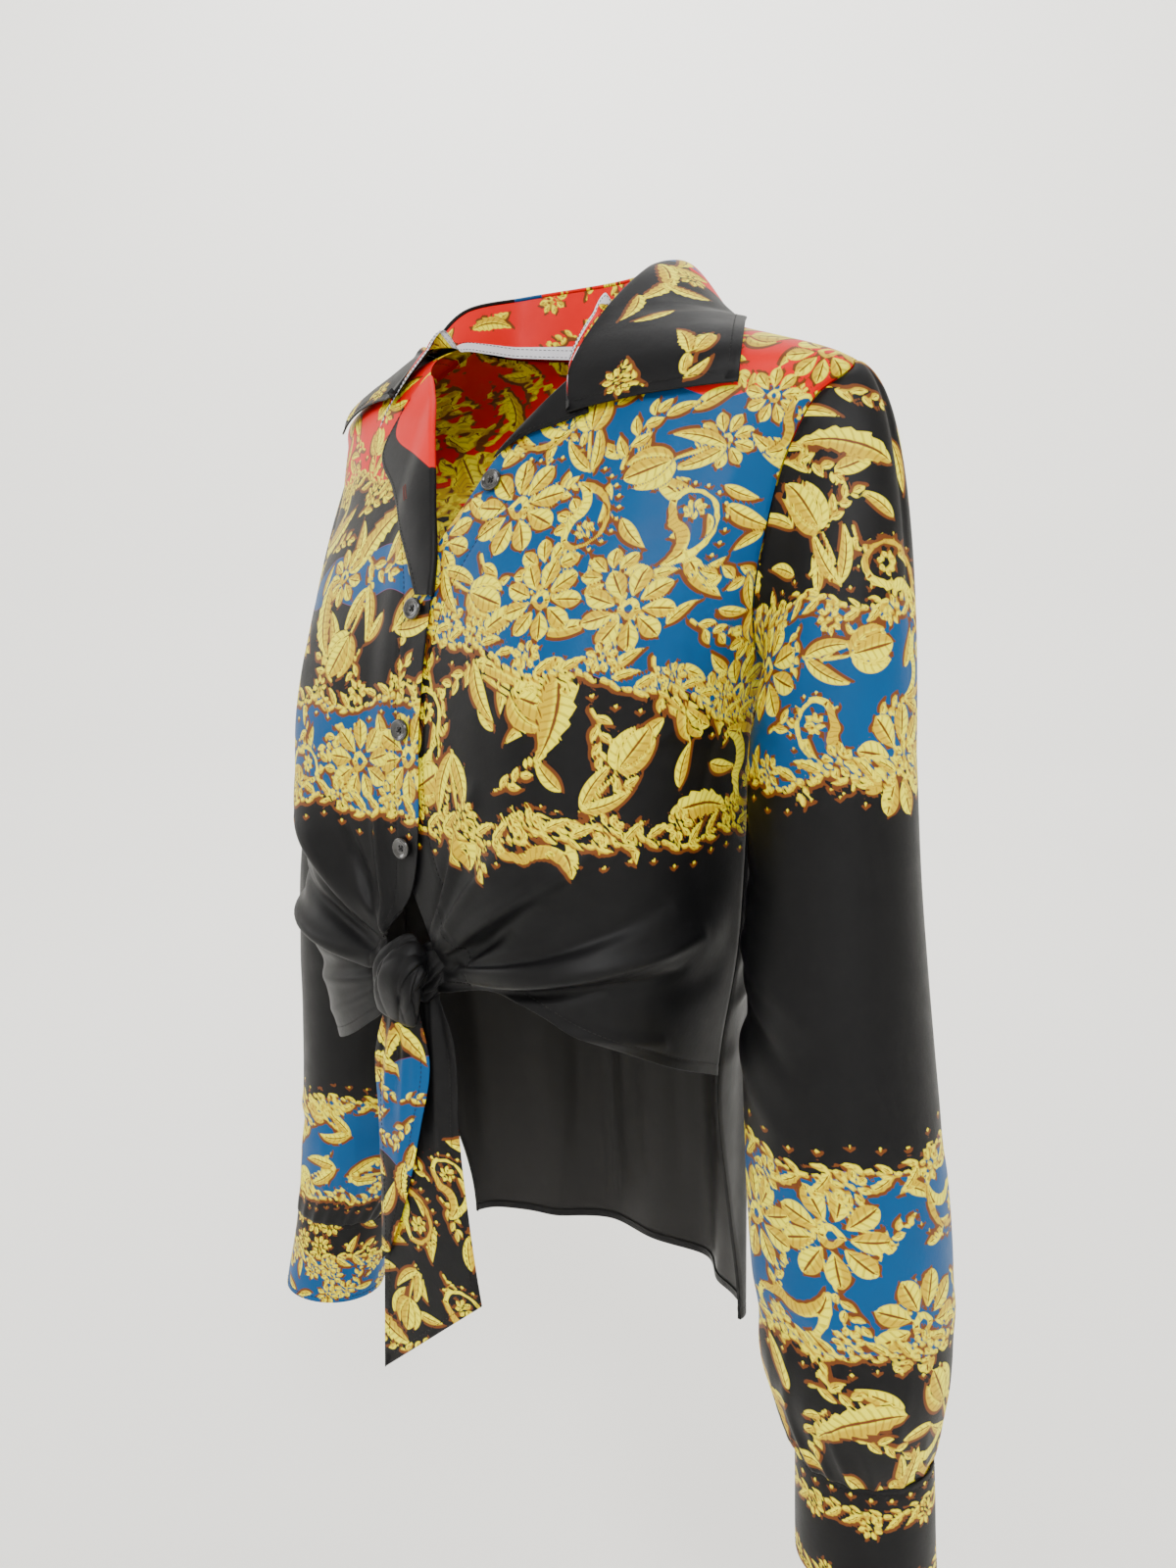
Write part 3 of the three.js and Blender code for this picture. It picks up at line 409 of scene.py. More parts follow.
CREASES_BACK = Rows(
    CREASE_COLUMNS,
    (196, 396, 150, 372, 88, 366, 2.6, 7, 0.4),
    (200, 372, 160, 356, 112, 352, -1.6, 6, 0),
    (200, 410, 160, 402, 96, 414, 2.0, 7, 0.3),
    (-198, 392, -150, 366, -84, 358, 2.4, 7, 0.4),
    (-200, 376, -156, 350, -118, 340, -1.6, 6, 0),
    (-200, 414, -158, 410, -104, 424, 2.0, 8, 0.3),
    (150, 120, 120, 150, 70, 164, 1.2, 9, 0.3),
    (-152, 126, -118, 150, -66, 168, 1.2, 9, 0.3),
    (128, 176, 118, 240, 124, 312, 1.3, 11, 0.2),
    (-124, 170, -116, 236, -126, 306, 1.2, 11, -0.2),
    (34, 200, 30, 262, 42, 330, 1.0, 13, 0),
    (-40, 214, -34, 270, -38, 336, -0.9, 12, 0),
    (166, 196, 148, 214, 112, 224, 1.2, 6, 0.3),
    (-168, 200, -150, 216, -118, 222, 1.2, 6, 0.3),
    (182, 250, 168, 290, 176, 336, 1.1, 8, 0.2),
    (-184, 254, -170, 292, -174, 340, 1.1, 8, -0.2),
    (60, 430, 52, 492, 62, 560, 1.6, 7, 0.3),
    (-28, 436, -20, 500, -26, 570, 1.5, 7, -0.2),
    (20, 420, 26, 480, 18, 566, -1.4, 8, 0.1),
)
CREASES_SLEEVE_LEFT = Rows(
    CREASE_COLUMNS,
    (138, 330, 104, 336, 58, 366, 2.2, 6, 0.45),
    (142, 352, 110, 362, 72, 392, -1.7, 5, 0),
    (140, 376, 112, 388, 80, 420, 2.0, 6, 0.4),
    (138, 300, 110, 300, 76, 316, -1.3, 6, 0),
    (-140, 322, -110, 334, -66, 350, 1.9, 6, -0.4),
    (-142, 350, -108, 366, -78, 388, 1.7, 6, 0.3),
    (-138, 396, -106, 404, -70, 428, 1.5, 7, 0.3),
    (134, 218, 108, 250, 98, 300, 1.7, 7, 0.4),
    (-132, 222, -108, 256, -102, 306, 1.5, 8, 0.3),
    (120, 200, 84, 226, 56, 232, 1.2, 6, 0.4),
    (20, 80, 30, 140, 18, 210, 0.9, 13, 0.2),
    (-34, 96, -40, 160, -30, 222, -0.8, 12, 0),
    (66, 120, 62, 170, 70, 214, 0.9, 10, 0.2),
    (40, 430, 30, 470, 44, 520, 1.2, 12, 0.3),
    (-20, 440, -30, 486, -18, 536, 1.0, 12, 0),
    (110, 450, 96, 500, 108, 560, 1.5, 9, 0.3),
    (-104, 446, -94, 500, -108, 556, -1.3, 9, 0),
    (76, 500, 60, 516, 24, 520, 1.3, 7, 0.3),
    (-70, 498, -44, 520, -6, 522, 1.2, 7, 0.3),
)
CREASES_SLEEVE_RIGHT = Rows(
    CREASE_COLUMNS,
    (140, 322, 106, 334, 62, 350, 2.0, 6, 0.45),
    (142, 346, 112, 360, 70, 372, -1.7, 5, 0),
    (140, 380, 106, 396, 74, 404, 1.8, 6, 0.4),
    (-138, 316, -104, 320, -60, 344, 1.9, 6, -0.4),
    (-140, 346, -112, 350, -74, 378, 1.6, 6, 0.3),
    (-140, 384, -108, 400, -78, 404, 1.6, 7, 0.3),
    (132, 222, 110, 254, 102, 296, 1.6, 7, 0.4),
    (-134, 216, -110, 250, -98, 300, 1.5, 8, 0.3),
    (-120, 202, -86, 224, -54, 236, 1.2, 6, 0.4),
    (14, 90, 24, 150, 12, 206, 0.9, 13, 0.2),
    (-58, 110, -64, 166, -56, 226, 0.8, 11, 0),
    (60, 126, 66, 172, 58, 220, -0.8, 10, 0),
    (34, 446, 24, 480, 38, 530, 1.2, 12, 0.3),
    (-36, 440, -28, 486, -40, 540, 1.0, 12, 0),
    (104, 456, 92, 506, 106, 562, 1.5, 9, 0.3),
    (-110, 450, -98, 500, -104, 560, -1.3, 9, 0),
    (64, 506, 40, 522, 8, 524, 1.3, 7, 0.3),
)
GATHERS = Rows(
    "across high wide tall",
    (-141, 1.6, 2.6, 34),
    (-131, 2.2, 3.0, 52),
    (-119, 1.5, 2.4, 26),
    (-108, 2.4, 3.2, 60),
    (-95, 1.8, 2.6, 38),
    (-82, 2.1, 3.4, 44),
    (-66, 1.2, 2.8, 24),
    (-50, 1.7, 3.4, 40),
    (-31, 1.0, 3.0, 26),
    (-12, 1.4, 3.6, 34),
    (8, 1.1, 3.2, 22),
    (27, 1.6, 3.4, 38),
    (45, 1.3, 2.8, 28),
    (60, 2.1, 3.2, 50),
    (74, 1.6, 2.6, 30),
    (87, 2.3, 3.2, 58),
    (101, 1.7, 2.6, 36),
    (113, 2.2, 3.0, 46),
    (126, 1.5, 2.6, 28),
    (137, 1.9, 2.8, 40),
)
CREASES_FALL = Rows(
    CREASE_COLUMNS,
    (-150, 20, -140, 34, -146, 62, 0.6, 8, 0),
    (150, 18, 138, 36, 150, 66, 0.6, 8, 0),
    (-92, 10, -86, 26, -94, 44, 0.7, 9, 0),
    (88, 8, 84, 24, 92, 46, 0.6, 9, 0),
    (-10, 12, 0, 24, -6, 42, 0.5, 12, 0),
)
CREASES_TAIL_FRONT = Rows(
    CREASE_COLUMNS,
    (-3, 376, -8, 400, -10, 450, 1.6, 2.6, 0.4),
    (4, 376, 6, 402, 3, 470, 2.0, 3.0, 0.4),
    (0, 378, -1, 410, -3, 440, -1.4, 2.2, 0),
    (8, 378, 13, 410, 9, 452, 1.3, 2.6, 0.3),
    (-9, 380, -15, 404, -13, 430, -1.0, 2.4, 0),
)
CREASES_TAIL_BACK = Rows(
    CREASE_COLUMNS,
    (6, 376, 11, 410, 16, 480, 1.7, 3.0, 0.4),
    (-2, 376, -4, 420, -8, 520, 1.4, 3.6, 0.3),
    (11, 378, 20, 410, 24, 450, -1.1, 2.8, 0),
    (2, 378, 3, 410, 6, 460, -1.2, 2.6, 0),
    (-8, 380, -16, 420, -22, 500, 1.2, 3.4, 0),
)
KNOT_WRAP = Rows(
    "share x y z wide deep",
    (0, 4, -113.5, -347, 9, 4.5),
    (0.2, 1, -120.5, -350, 14, 7.5),
    (0.45, -3, -126.5, -359, 17.5, 8.5),
    (0.7, -6, -126, -371, 18, 7),
    (1, -9, -122.6, -387, 16, 3.4),
)
KNOT_CORE = Rows(
    "share x y z wide deep",
    (0, 19, -106, -346, 7, 4),
    (0.33, 10, -110, -353, 12, 7.5),
    (0.67, 1, -110, -363, 13, 7.5),
    (1, -6, -110.5, -375, 9, 5),
)
FRONT_BUTTONS = (("button_neck", 1, 31, 100), ("button_1", -1, 1, 165),
                 ("button_2", -1, 1, 228), ("button_3", -1, 1, 291))
BUTTON_PROFILE = Rows(
    "radius high",
    (0, 1.5),
    (3.0, 1.5),
    (3.9, 1.9),
    (4.6, 2.35),
    (5.2, 2.4),
    (5.7, 2.0),
    (6.0, 1.3),
)


def zone(inner, outer, ground, fill=(), border=None, wave=3):
    """A band of the print: its upper edge at the middle and at the side, its ground, the motifs
    that fill it and the garland along its upper edge, as its height and the way it grows."""
    return {"inner": inner, "outer": outer, "ground": ground, "fill": fill, "border": border,
            "wave": wave}


FINE = [(25, ("leaf",), (15, 21)), (34, ("sprig", "daisy", "leaf", "sprig"), (25, 33)),
        (47, ("tulip", "paisley", "daisy"), (37, 47))]
OPEN = [(33, ("leaf", "sprig"), (19, 27)), (55, ("paisley", "tulip", "daisy"), (43, 54))]
BOLD = [(29, ("leaf", "sprig"), (21, 29)), (50, ("fern", "paisley", "tulip"), (46, 60))]
RED_FILL = [(26, ("leaf", "sprig"), (18, 25)), (42, ("tulip", "daisy", "fern"), (30, 38))]
LEFT_ZONES = [
    zone(-50, -50, "red", fill=RED_FILL),
    zone(44, 66, "blue", fill=FINE),
    zone(176, 216, "black", fill=BOLD, border=(15, -1)),
    zone(276, 280, "black", border=(17, -1)),
]
RIGHT_ZONES = [
    zone(-50, -50, "red", fill=RED_FILL),
    zone(92, 84, "black", fill=BOLD, border=(14, 1)),
    zone(128, 150, "blue", fill=FINE),
    zone(158, 162, "black", fill=BOLD),
    zone(212, 220, "blue", fill=FINE, border=(14, -1)),
    zone(272, 270, "black", border=(17, -1)),
]
BACK_ZONES = [
    zone(-50, -50, "red", fill=RED_FILL),
    zone(86, 92, "black", fill=BOLD, border=(16, 1)),
    zone(138, 150, "blue", fill=FINE),
    zone(206, 214, "black", fill=BOLD, border=(15, -1)),
    zone(276, 280, "black", border=(18, -1)),
]
SLEEVE_ZONES = [
    zone(-50, -50, "black", fill=BOLD),
    zone(160, 168, "blue", fill=OPEN, border=(15, 1)),
    zone(246, 250, "black", border=(18, -1)),
    zone(432, 436, "blue", fill=OPEN, border=(18, 1)),
    zone(522, 530, "black", fill=BOLD, border=(15, -1)),
]
SLEEVE_RIGHT_ZONES = [
    zone(-50, -50, "black", fill=BOLD),
    zone(160, 168, "blue", fill=OPEN, border=(15, 1)),
    zone(246, 250, "black", border=(18, -1)),
    zone(506, 510, "blue", fill=OPEN, border=(16, 1)),
    zone(580, 584, "black", border=(12, -1)),
]
TAIL_FRONT_ZONES = [
    zone(340, 340, "black"),
    zone(384, 388, "black", fill=[(15, ("fern", "leaf"), (24, 31))]),
    zone(412, 404, "blue", fill=[(21, ("sprig", "leaf"), (15, 20))]),
    zone(474, 480, "black", fill=[(18, ("fern", "leaf"), (19, 26))]),
]
TAIL_BACK_ZONES = [
    zone(340, 340, "black"),
    zone(470, 436, "black",
     fill=[(25, ("leaf", "sprig"), (17, 23)), (41, ("paisley", "tulip", "fern"), (38, 46))]),
]
CUFF_LEFT_ZONES = [
    zone(-20, -20, "black"),
    zone(13, 13, "black", border=(13, 1), wave=1.5),
    zone(55, 56, "black", border=(10, -1), wave=2),
]
CUFF_RIGHT_ZONES = [
    zone(-20, -20, "black", fill=[(19, ("leaf", "daisy"), (14, 19))]),
    zone(24, 26, "blue", border=(14, 1), wave=2,
     fill=[(15, ("leaf", "sprig", "daisy"), (13, 17))]),
]
PRINTS = {
    "front_left": (3, 190, LEFT_ZONES, 1),
    "front_right": (5, 190, RIGHT_ZONES, 1),
    "back": (7, 230, BACK_ZONES, 1),
    "sleeve_left": (9, 140, SLEEVE_ZONES, 1),
    "sleeve_right": (12, 140, SLEEVE_RIGHT_ZONES, -1),
    "tail_front": (15, 20, TAIL_FRONT_ZONES, 1),
    "tail_back": (17, 35, TAIL_BACK_ZONES, 1),
    "cuff_left": (21, 100, CUFF_LEFT_ZONES, 1),
    "cuff_right": (23, 100, CUFF_RIGHT_ZONES, 1),
}


def linear(red, green, blue):
    """Colour for a shader from its value as seen on a screen."""
    return [((c + 0.055) / 1.055) ** 2.4 if c > 0.04 else c / 12.92 for c in (red, green, blue)] + [1]


GOLD = linear(0.93, 0.87, 0.0)
GOLD_LIGHT = linear(0.98, 0.96, 0.12)
OCHRE = linear(0.79, 0.66, 0.0)
BROWN = linear(0.40, 0.21, 0.06)
BLUE = linear(0.0, 0.27, 0.47)
RED = linear(0.82, 0.0, 0.0)
BLACK = linear(0.035, 0.035, 0.042)
WHITE = linear(0.84, 0.85, 0.88)
REVERSE = linear(0.62, 0.60, 0.58)
THREAD_BLACK = linear(0.02, 0.02, 0.024)
THREAD_BROWN = linear(0.42, 0.22, 0.2)
BUTTON_BLACK = linear(0.03, 0.03, 0.035)
COAT_ROUGH = 0.12
WALL_COLOUR = (0.97, 0.965, 0.95)
WALL_PROFILE = ((0.001, 0.0), (2.6, 0.0), (3.3, 0.07), (3.85, 0.35), (4.15, 0.9), (4.2, 1.6),
                (4.2, 5.2))
FLOOR_BELOW = 0.25
WORLD_STRENGTH = 0.75
LIGHTS = (
    ("key", (1.9, -1.9, 1.6), 1.2, 85),
    ("window", (-2.4, -1.3, 0.8), 1.4, 26),
    ("wall left", (-1.6, 1.6, 2.6), 2.4, 90),
    ("wall right", (0.1, 1.0, 2.9), 2.4, 80),
)
CAMERA_PLACE = Vector((0.4839, -0.5586, -0.1771))
WALL_AROUND = 96
WALL_LIT = Vector((-2.4, 3.2, 0.6))
WORLD_COLOUR = (1.0, 0.985, 0.96, 1)
CAMERA_LENS = 28.163
CAMERA_SENSOR = 36
CAMERA_CLIP = (0.01, 50)
CAMERA_AHEAD = Vector((-0.630, 0.767, -0.122))
CAMERA_RIGHT = Vector((0.7726, 0.6349, 0.0))


def ease(value):
    t = np.clip(value, 0, 1)
    return t * t * (3 - 2 * t)


def unit(vectors):
    length = np.linalg.norm(vectors, axis=-1, keepdims=True)
    return vectors / np.maximum(length, 1e-9)


def stack(x, y, z):
    return np.stack(np.broadcast_arrays(x, y, z), axis=-1).astype(float)


def body(angle, drop):
    """Point of the body's surface. Angle 0 is the middle of the front, 90 the wearer's left."""
    row = BODY.at(drop)
    turn = np.radians(angle)
    across, ahead = np.sin(turn), np.cos(turn)
    power = np.where(ahead > 0, row["square"], BACK_SQUARE)
    grow = (np.abs(across) ** power + np.abs(ahead) ** power) ** (-1 / power)
    depth = np.where(ahead > 0, row["front"], row["back"])
    x = row["half"] * across * grow
    near_bust = np.exp(-(((np.abs(x) - BUST_APART) / BUST_WIDE) ** 2))
    bust = row["bust"] * near_bust * ease(ahead * 2.5)
    return stack(row["side"] + x, row["mid"] - depth * ahead * grow - bust, -np.asarray(drop, float))


def angle_out(out, drop):
    """Angle at which the front's surface lies this far out from the middle."""
    out, drop = np.broadcast_arrays(np.asarray(out, float), np.asarray(drop, float))
    side = BODY.at(drop)["side"]
    low, high = np.full(out.shape, -60.0), np.full(out.shape, 90.0)
    for _ in range(32):
        middle = (low + high) / 2
        inside = body(middle, drop)[..., 0] - side < out
        low, high = np.where(inside, middle, low), np.where(inside, high, middle)
    return (low + high) / 2


def body_level(points):
    row = BODY.at(-points[..., 2])
    ahead = points[..., 1] < row["mid"]
    power = np.where(ahead, row["square"], BACK_SQUARE)
    depth = np.where(ahead, row["front"], row["back"])
    across = np.abs(points[..., 0] - row["side"]) / row["half"]
    deep = np.abs(points[..., 1] - row["mid"]) / depth
    return (across**power + deep**power) ** (1 / power) - 1


def keep_out(points, clearance):
    """Moves points straight out of the body until they are clear of its surface. The push fades
    out towards the neck's edge."""
    start = points
    clearance = clearance - NECK_FADE * ease((points[..., 2] + 14) / 18)
    for _ in range(14):
        here = body_level(points)
        slope = np.stack(
            [body_level(points + step) - here for step in 0.5 * np.eye(3)], axis=-1
        ) * 2
        steep = np.maximum(np.linalg.norm(slope, axis=-1), 1e-9)
        short = clearance - here / steep
        push = np.where(short > 0.01, 0.6 * short / steep, 0)
        points = points + push[..., None] * slope
    return start + spread(points - start)


def spread(moved):
    """Evens a movement out along the rows of a piece."""
    reach = max(1, moved.shape[1] // 60)
    wide = np.pad(moved, ((0, 0), (reach + 1, reach), (0, 0)), mode="edge")
    total = np.cumsum(wide, axis=1)
    return (total[:, 2 * reach + 1:] - total[:, :-2 * reach - 1]) / (2 * reach + 1)


def edge_out(table):
    """An edge given by share, out and drop, as angle and drop."""
    def edge(share):
        row = table.at(share)
        return angle_out(row["out"], row["drop"]), row["drop"]

    return edge


def fill(top, bottom, start, end):
    """Fills four edges with angle and drop; every edge runs from share 0 to 1."""
    ends = [np.array(edge(np.array([0.0, 1.0]))) for edge in (top, bottom)]

    def place(u, v):
        tops, bottoms, starts, stops = (np.array(edge(s)) for edge, s in
                                        ((top, u), (bottom, u), (start, v), (end, v)))
        corners = (
            (1 - u) * (1 - v) * ends[0][:, 0].reshape(2, *[1] * u.ndim)
            + u * (1 - v) * ends[0][:, 1].reshape(2, *[1] * u.ndim)
            + (1 - u) * v * ends[1][:, 0].reshape(2, *[1] * u.ndim)
            + u * v * ends[1][:, 1].reshape(2, *[1] * u.ndim)
        )
        return (1 - u) * starts + u * stops + (1 - v) * tops + v * bottoms - corners

    return place


def outer_edge(share):
    """Side of a front: armhole, then side seam."""
    hole = ARMHOLE.at(np.clip(share / ARMHOLE_SHARE, 0, 1))
    down = np.clip((share - ARMHOLE_SHARE) / (1 - ARMHOLE_SHARE), 0, 1)
    above = share <= ARMHOLE_SHARE
    angle = np.where(above, hole["front"], 90)
    return angle, np.where(above, hole["drop"], UNDERARM_DROP + (SIDE_DROP - UNDERARM_DROP) * down)


def shoulder_edge(share):
    return 90 + 0 * share, SHOULDER_DROP * share


def fold_height(folds, out, drop, angle):
    """Height of a front's large folds, which start beside the knot."""
    reach = np.hypot(out, KNOT_DROP - drop)
    height = 0
    for far_out, far_drop, high, far_wide in folds.values:
        length = math.hypot(far_out, KNOT_DROP - far_drop)
        ux, uz = far_out / length, (KNOT_DROP - far_drop) / length
        along = (out * ux + (KNOT_DROP - drop) * uz) / length
        off = out * uz - (KNOT_DROP - drop) * ux
        wide = 6 + (far_wide - 6) * np.clip(along, 0, 1)
        fade = ease(along * 4) * (1 - ease((along - 0.75) / 0.5))
        height = height + high * fade * np.exp(-((off / wide) ** 2))
    return height * ease((86 - np.abs(angle)) / 12) * ease((reach - 14) / 22)


def front_point(side, folds, angle, drop, lift):
    """Point on a front, moved out by lift; the right front lies outside the left one."""
    point = body(side * angle, drop)
    across = body(side * angle + 0.5, drop) - body(side * angle - 0.5, drop)
    down = body(side * angle, drop + 0.5) - body(side * angle, drop - 0.5)
    out = unit(np.cross(down, across))
    own = side * point[..., 0]
    over = LAP_LIFT * (1 - ease((own - LAP_WIDE) / LAP_WIDE)) if side < 0 else 0
    height = fold_height(folds, own, drop, angle) if folds is not None else 0
    total = np.broadcast_to(lift + over + height, own.shape)
    return point + out * total[..., None]


def front_place(inner, hem):
    """Angle and drop over a whole front."""
    inner_edge = edge_out(inner)
    at_knot = float(inner_edge(np.array([1.0]))[0][0])

    def hem_edge(turn):
        return at_knot + (90 - at_knot) * turn, hem.at(turn)["drop"]

    return fill(shoulder_edge, hem_edge, inner_edge, outer_edge)


def back_side(mirror):
    def edge(share):
        hole = ARMHOLE.at(np.clip(share / BACK_ARMHOLE_SHARE, 0, 1))
        seam = (share - BACK_ARMHOLE_SHARE) / (BACK_VENT_SHARE - BACK_ARMHOLE_SHARE)
        vent = np.clip((share - BACK_VENT_SHARE) / (1 - BACK_VENT_SHARE), 0, 1)
        on_hole, on_seam = share <= BACK_ARMHOLE_SHARE, share <= BACK_VENT_SHARE
        low = 90 + SEAM_ANGLE + (VENT_BACK_ANGLE - 90) * ease(vent)
        angle = np.where(on_hole, hole["back"], low)
        seam_drop = UNDERARM_DROP + (SIDE_DROP - UNDERARM_DROP) * seam
        vent_drop = SIDE_DROP + (BACK_HEM_DROP - SIDE_DROP) * vent
        drop = np.where(on_hole, hole["drop"], np.where(on_seam, seam_drop, vent_drop))
        return (360 - angle if mirror else angle), drop

    return edge


def back_top(share):
    return tuple(np.interp(share, BACK_TOP.column("share"), BACK_TOP.column(name))
                 for name in ("angle", "drop"))


def back_hem(share):
    corner = VENT_BACK_ANGLE + SEAM_ANGLE
    return (corner + (360 - 2 * corner) * share,
            BACK_HEM_DROP + BACK_HEM_SAG * np.sin(np.pi * share))


def armhole_point(side, turn):
    share = 1 - np.abs(2 * turn - 1)
    row = ARMHOLE.at(share)
    return body(side * np.where(turn < 0.5, row["front"], row["back"]), row["drop"])


def sleeve_form(side, table):
    """Sleeve from the armhole to the cuff, over turn and share of its length."""
    first, last = table.values[0, 0], table.values[-1, 0]

    def tube(turn, drop):
        row = table.at(drop)
        around = 2 * np.pi * turn
        radius = row["radius"]
        for fold_drop, high, wide, fold_turn in SLEEVE_FOLDS.values:
            apart = np.abs((turn - fold_turn + 1.5) % 1 - 0.5)
            bend = fold_drop + 60 * apart
            radius = radius + high * np.exp(-(((drop - bend) / wide) ** 2)) * (1 - ease(apart * 3))
        return stack(row["x"] + radius * side * np.cos(around),
                     row["y"] - radius * np.sin(around), -drop)

    def form(turn, v):
        low = tube(turn, first + (last - first) * np.clip((v - CAP_SHARE) / (1 - CAP_SHARE), 0, 1))
        t = np.clip(v / CAP_SHARE, 0, 1)[..., None]
        finish = tube(turn, first + 0 * v)
        upper = (1 + np.cos(2 * np.pi * turn)) / 2
        leave = stack(side * (14 + 7 * upper), 7 * upper, 8 * upper - 12)
        arrive = stack(0, 0, 18 + 52 * upper)
        gap = np.where(turn > 0.5, HEAD_GAP_BACK, HEAD_GAP)[..., None]
        start = armhole_point(side, turn) + unit(leave) * gap
        cap = (
            start * (1 - t) ** 3
            + (start + leave) * 3 * t * (1 - t) ** 2
            + (finish + arrive) * 3 * t**2 * (1 - t)
            + finish * t**3
        )
        return np.where((v >= CAP_SHARE)[..., None], low, cap)

    return form


def cuff_form(side, cuff):
    top, low, radius = np.array(cuff[0], float), np.array(cuff[1], float), cuff[2]

    def form(turn, v):
        around = 2 * np.pi * turn
        r = radius * (1 + 0.03 * v + 0.03 * np.cos(2 * around))
        middle = top + (low - top) * v[..., None]
        return middle + stack(side * np.cos(around) * r, -np.sin(around) * r, 0)

    return form


def collar_at(share):
    row = COLLAR.at(share)
    return [stack(row[k + "x"], row[k + "y"], row[k + "z"]) for k in "sfe"]


def stand_form(share, v):
    """Inner part of the collar: from just under the fold down over the neck's edge."""
    seam, fold, _ = collar_at(0.02 + 0.97 * share)
    up = fold - seam
    length = np.linalg.norm(up, axis=-1)
    up = unit(up)
    front = ease((np.abs(share - 0.5) - 0.2) / 0.1)
    low = seam - up * (6 - 5 * front)[..., None]
    high = seam + up * np.maximum(length - 2.4, 5.4)[..., None]
    v = v[..., None]
    return keep_out(high + (low - high) * v, 5.2 + 24.6 * (front - 1))


def fall_form(share, v):
    seam, fold, edge = collar_at(share)
    outward = edge - fold
    outward[..., 2] = 0
    outward = unit(outward)
    rise = np.clip((fold[..., 2] - seam[..., 2]) / 30, 0, 1)[..., None]
    bend = fold + outward * (9 + 8 * rise) + np.array([0, 0, 1.0]) * (2 + 3 * rise)
    v = v[..., None]
    point = fold * (1 - v) ** 2 + bend * 2 * v * (1 - v) + edge * v**2
    return keep_out(point, 4.9)


def lapel_place(inner, outer, start_share, end_share):
    inner_edge, end = edge_out(inner), edge_out(outer)

    def start(share):
        return inner_edge(start_share + (end_share - start_share) * share)

    def rim(at):
        a, b = (np.array(edge(np.array([at]))) for edge in (start, end))

        def edge(share):
            return tuple(a[k] + (b[k] - a[k]) * share for k in (0, 1))

        return edge

    return fill(rim(0.0), rim(1.0), start, end)


def tail_form(table, slant):
    first, last = table.values[0, 0], table.values[-1, 0]

    def form(u, v):
        row = table.at(first + (last - first) * v)
        across = 2 * u - 1
        turn = np.radians(row["turn"])
        return stack(
            row["x"] + row["half"] * across * np.cos(turn),
            row["y"] + row["half"] * across * np.sin(turn) + row["curl"] * (across**2 - 0.4),
            -(first + (last - first) * v) + slant * across * v**3,
        )

    return form


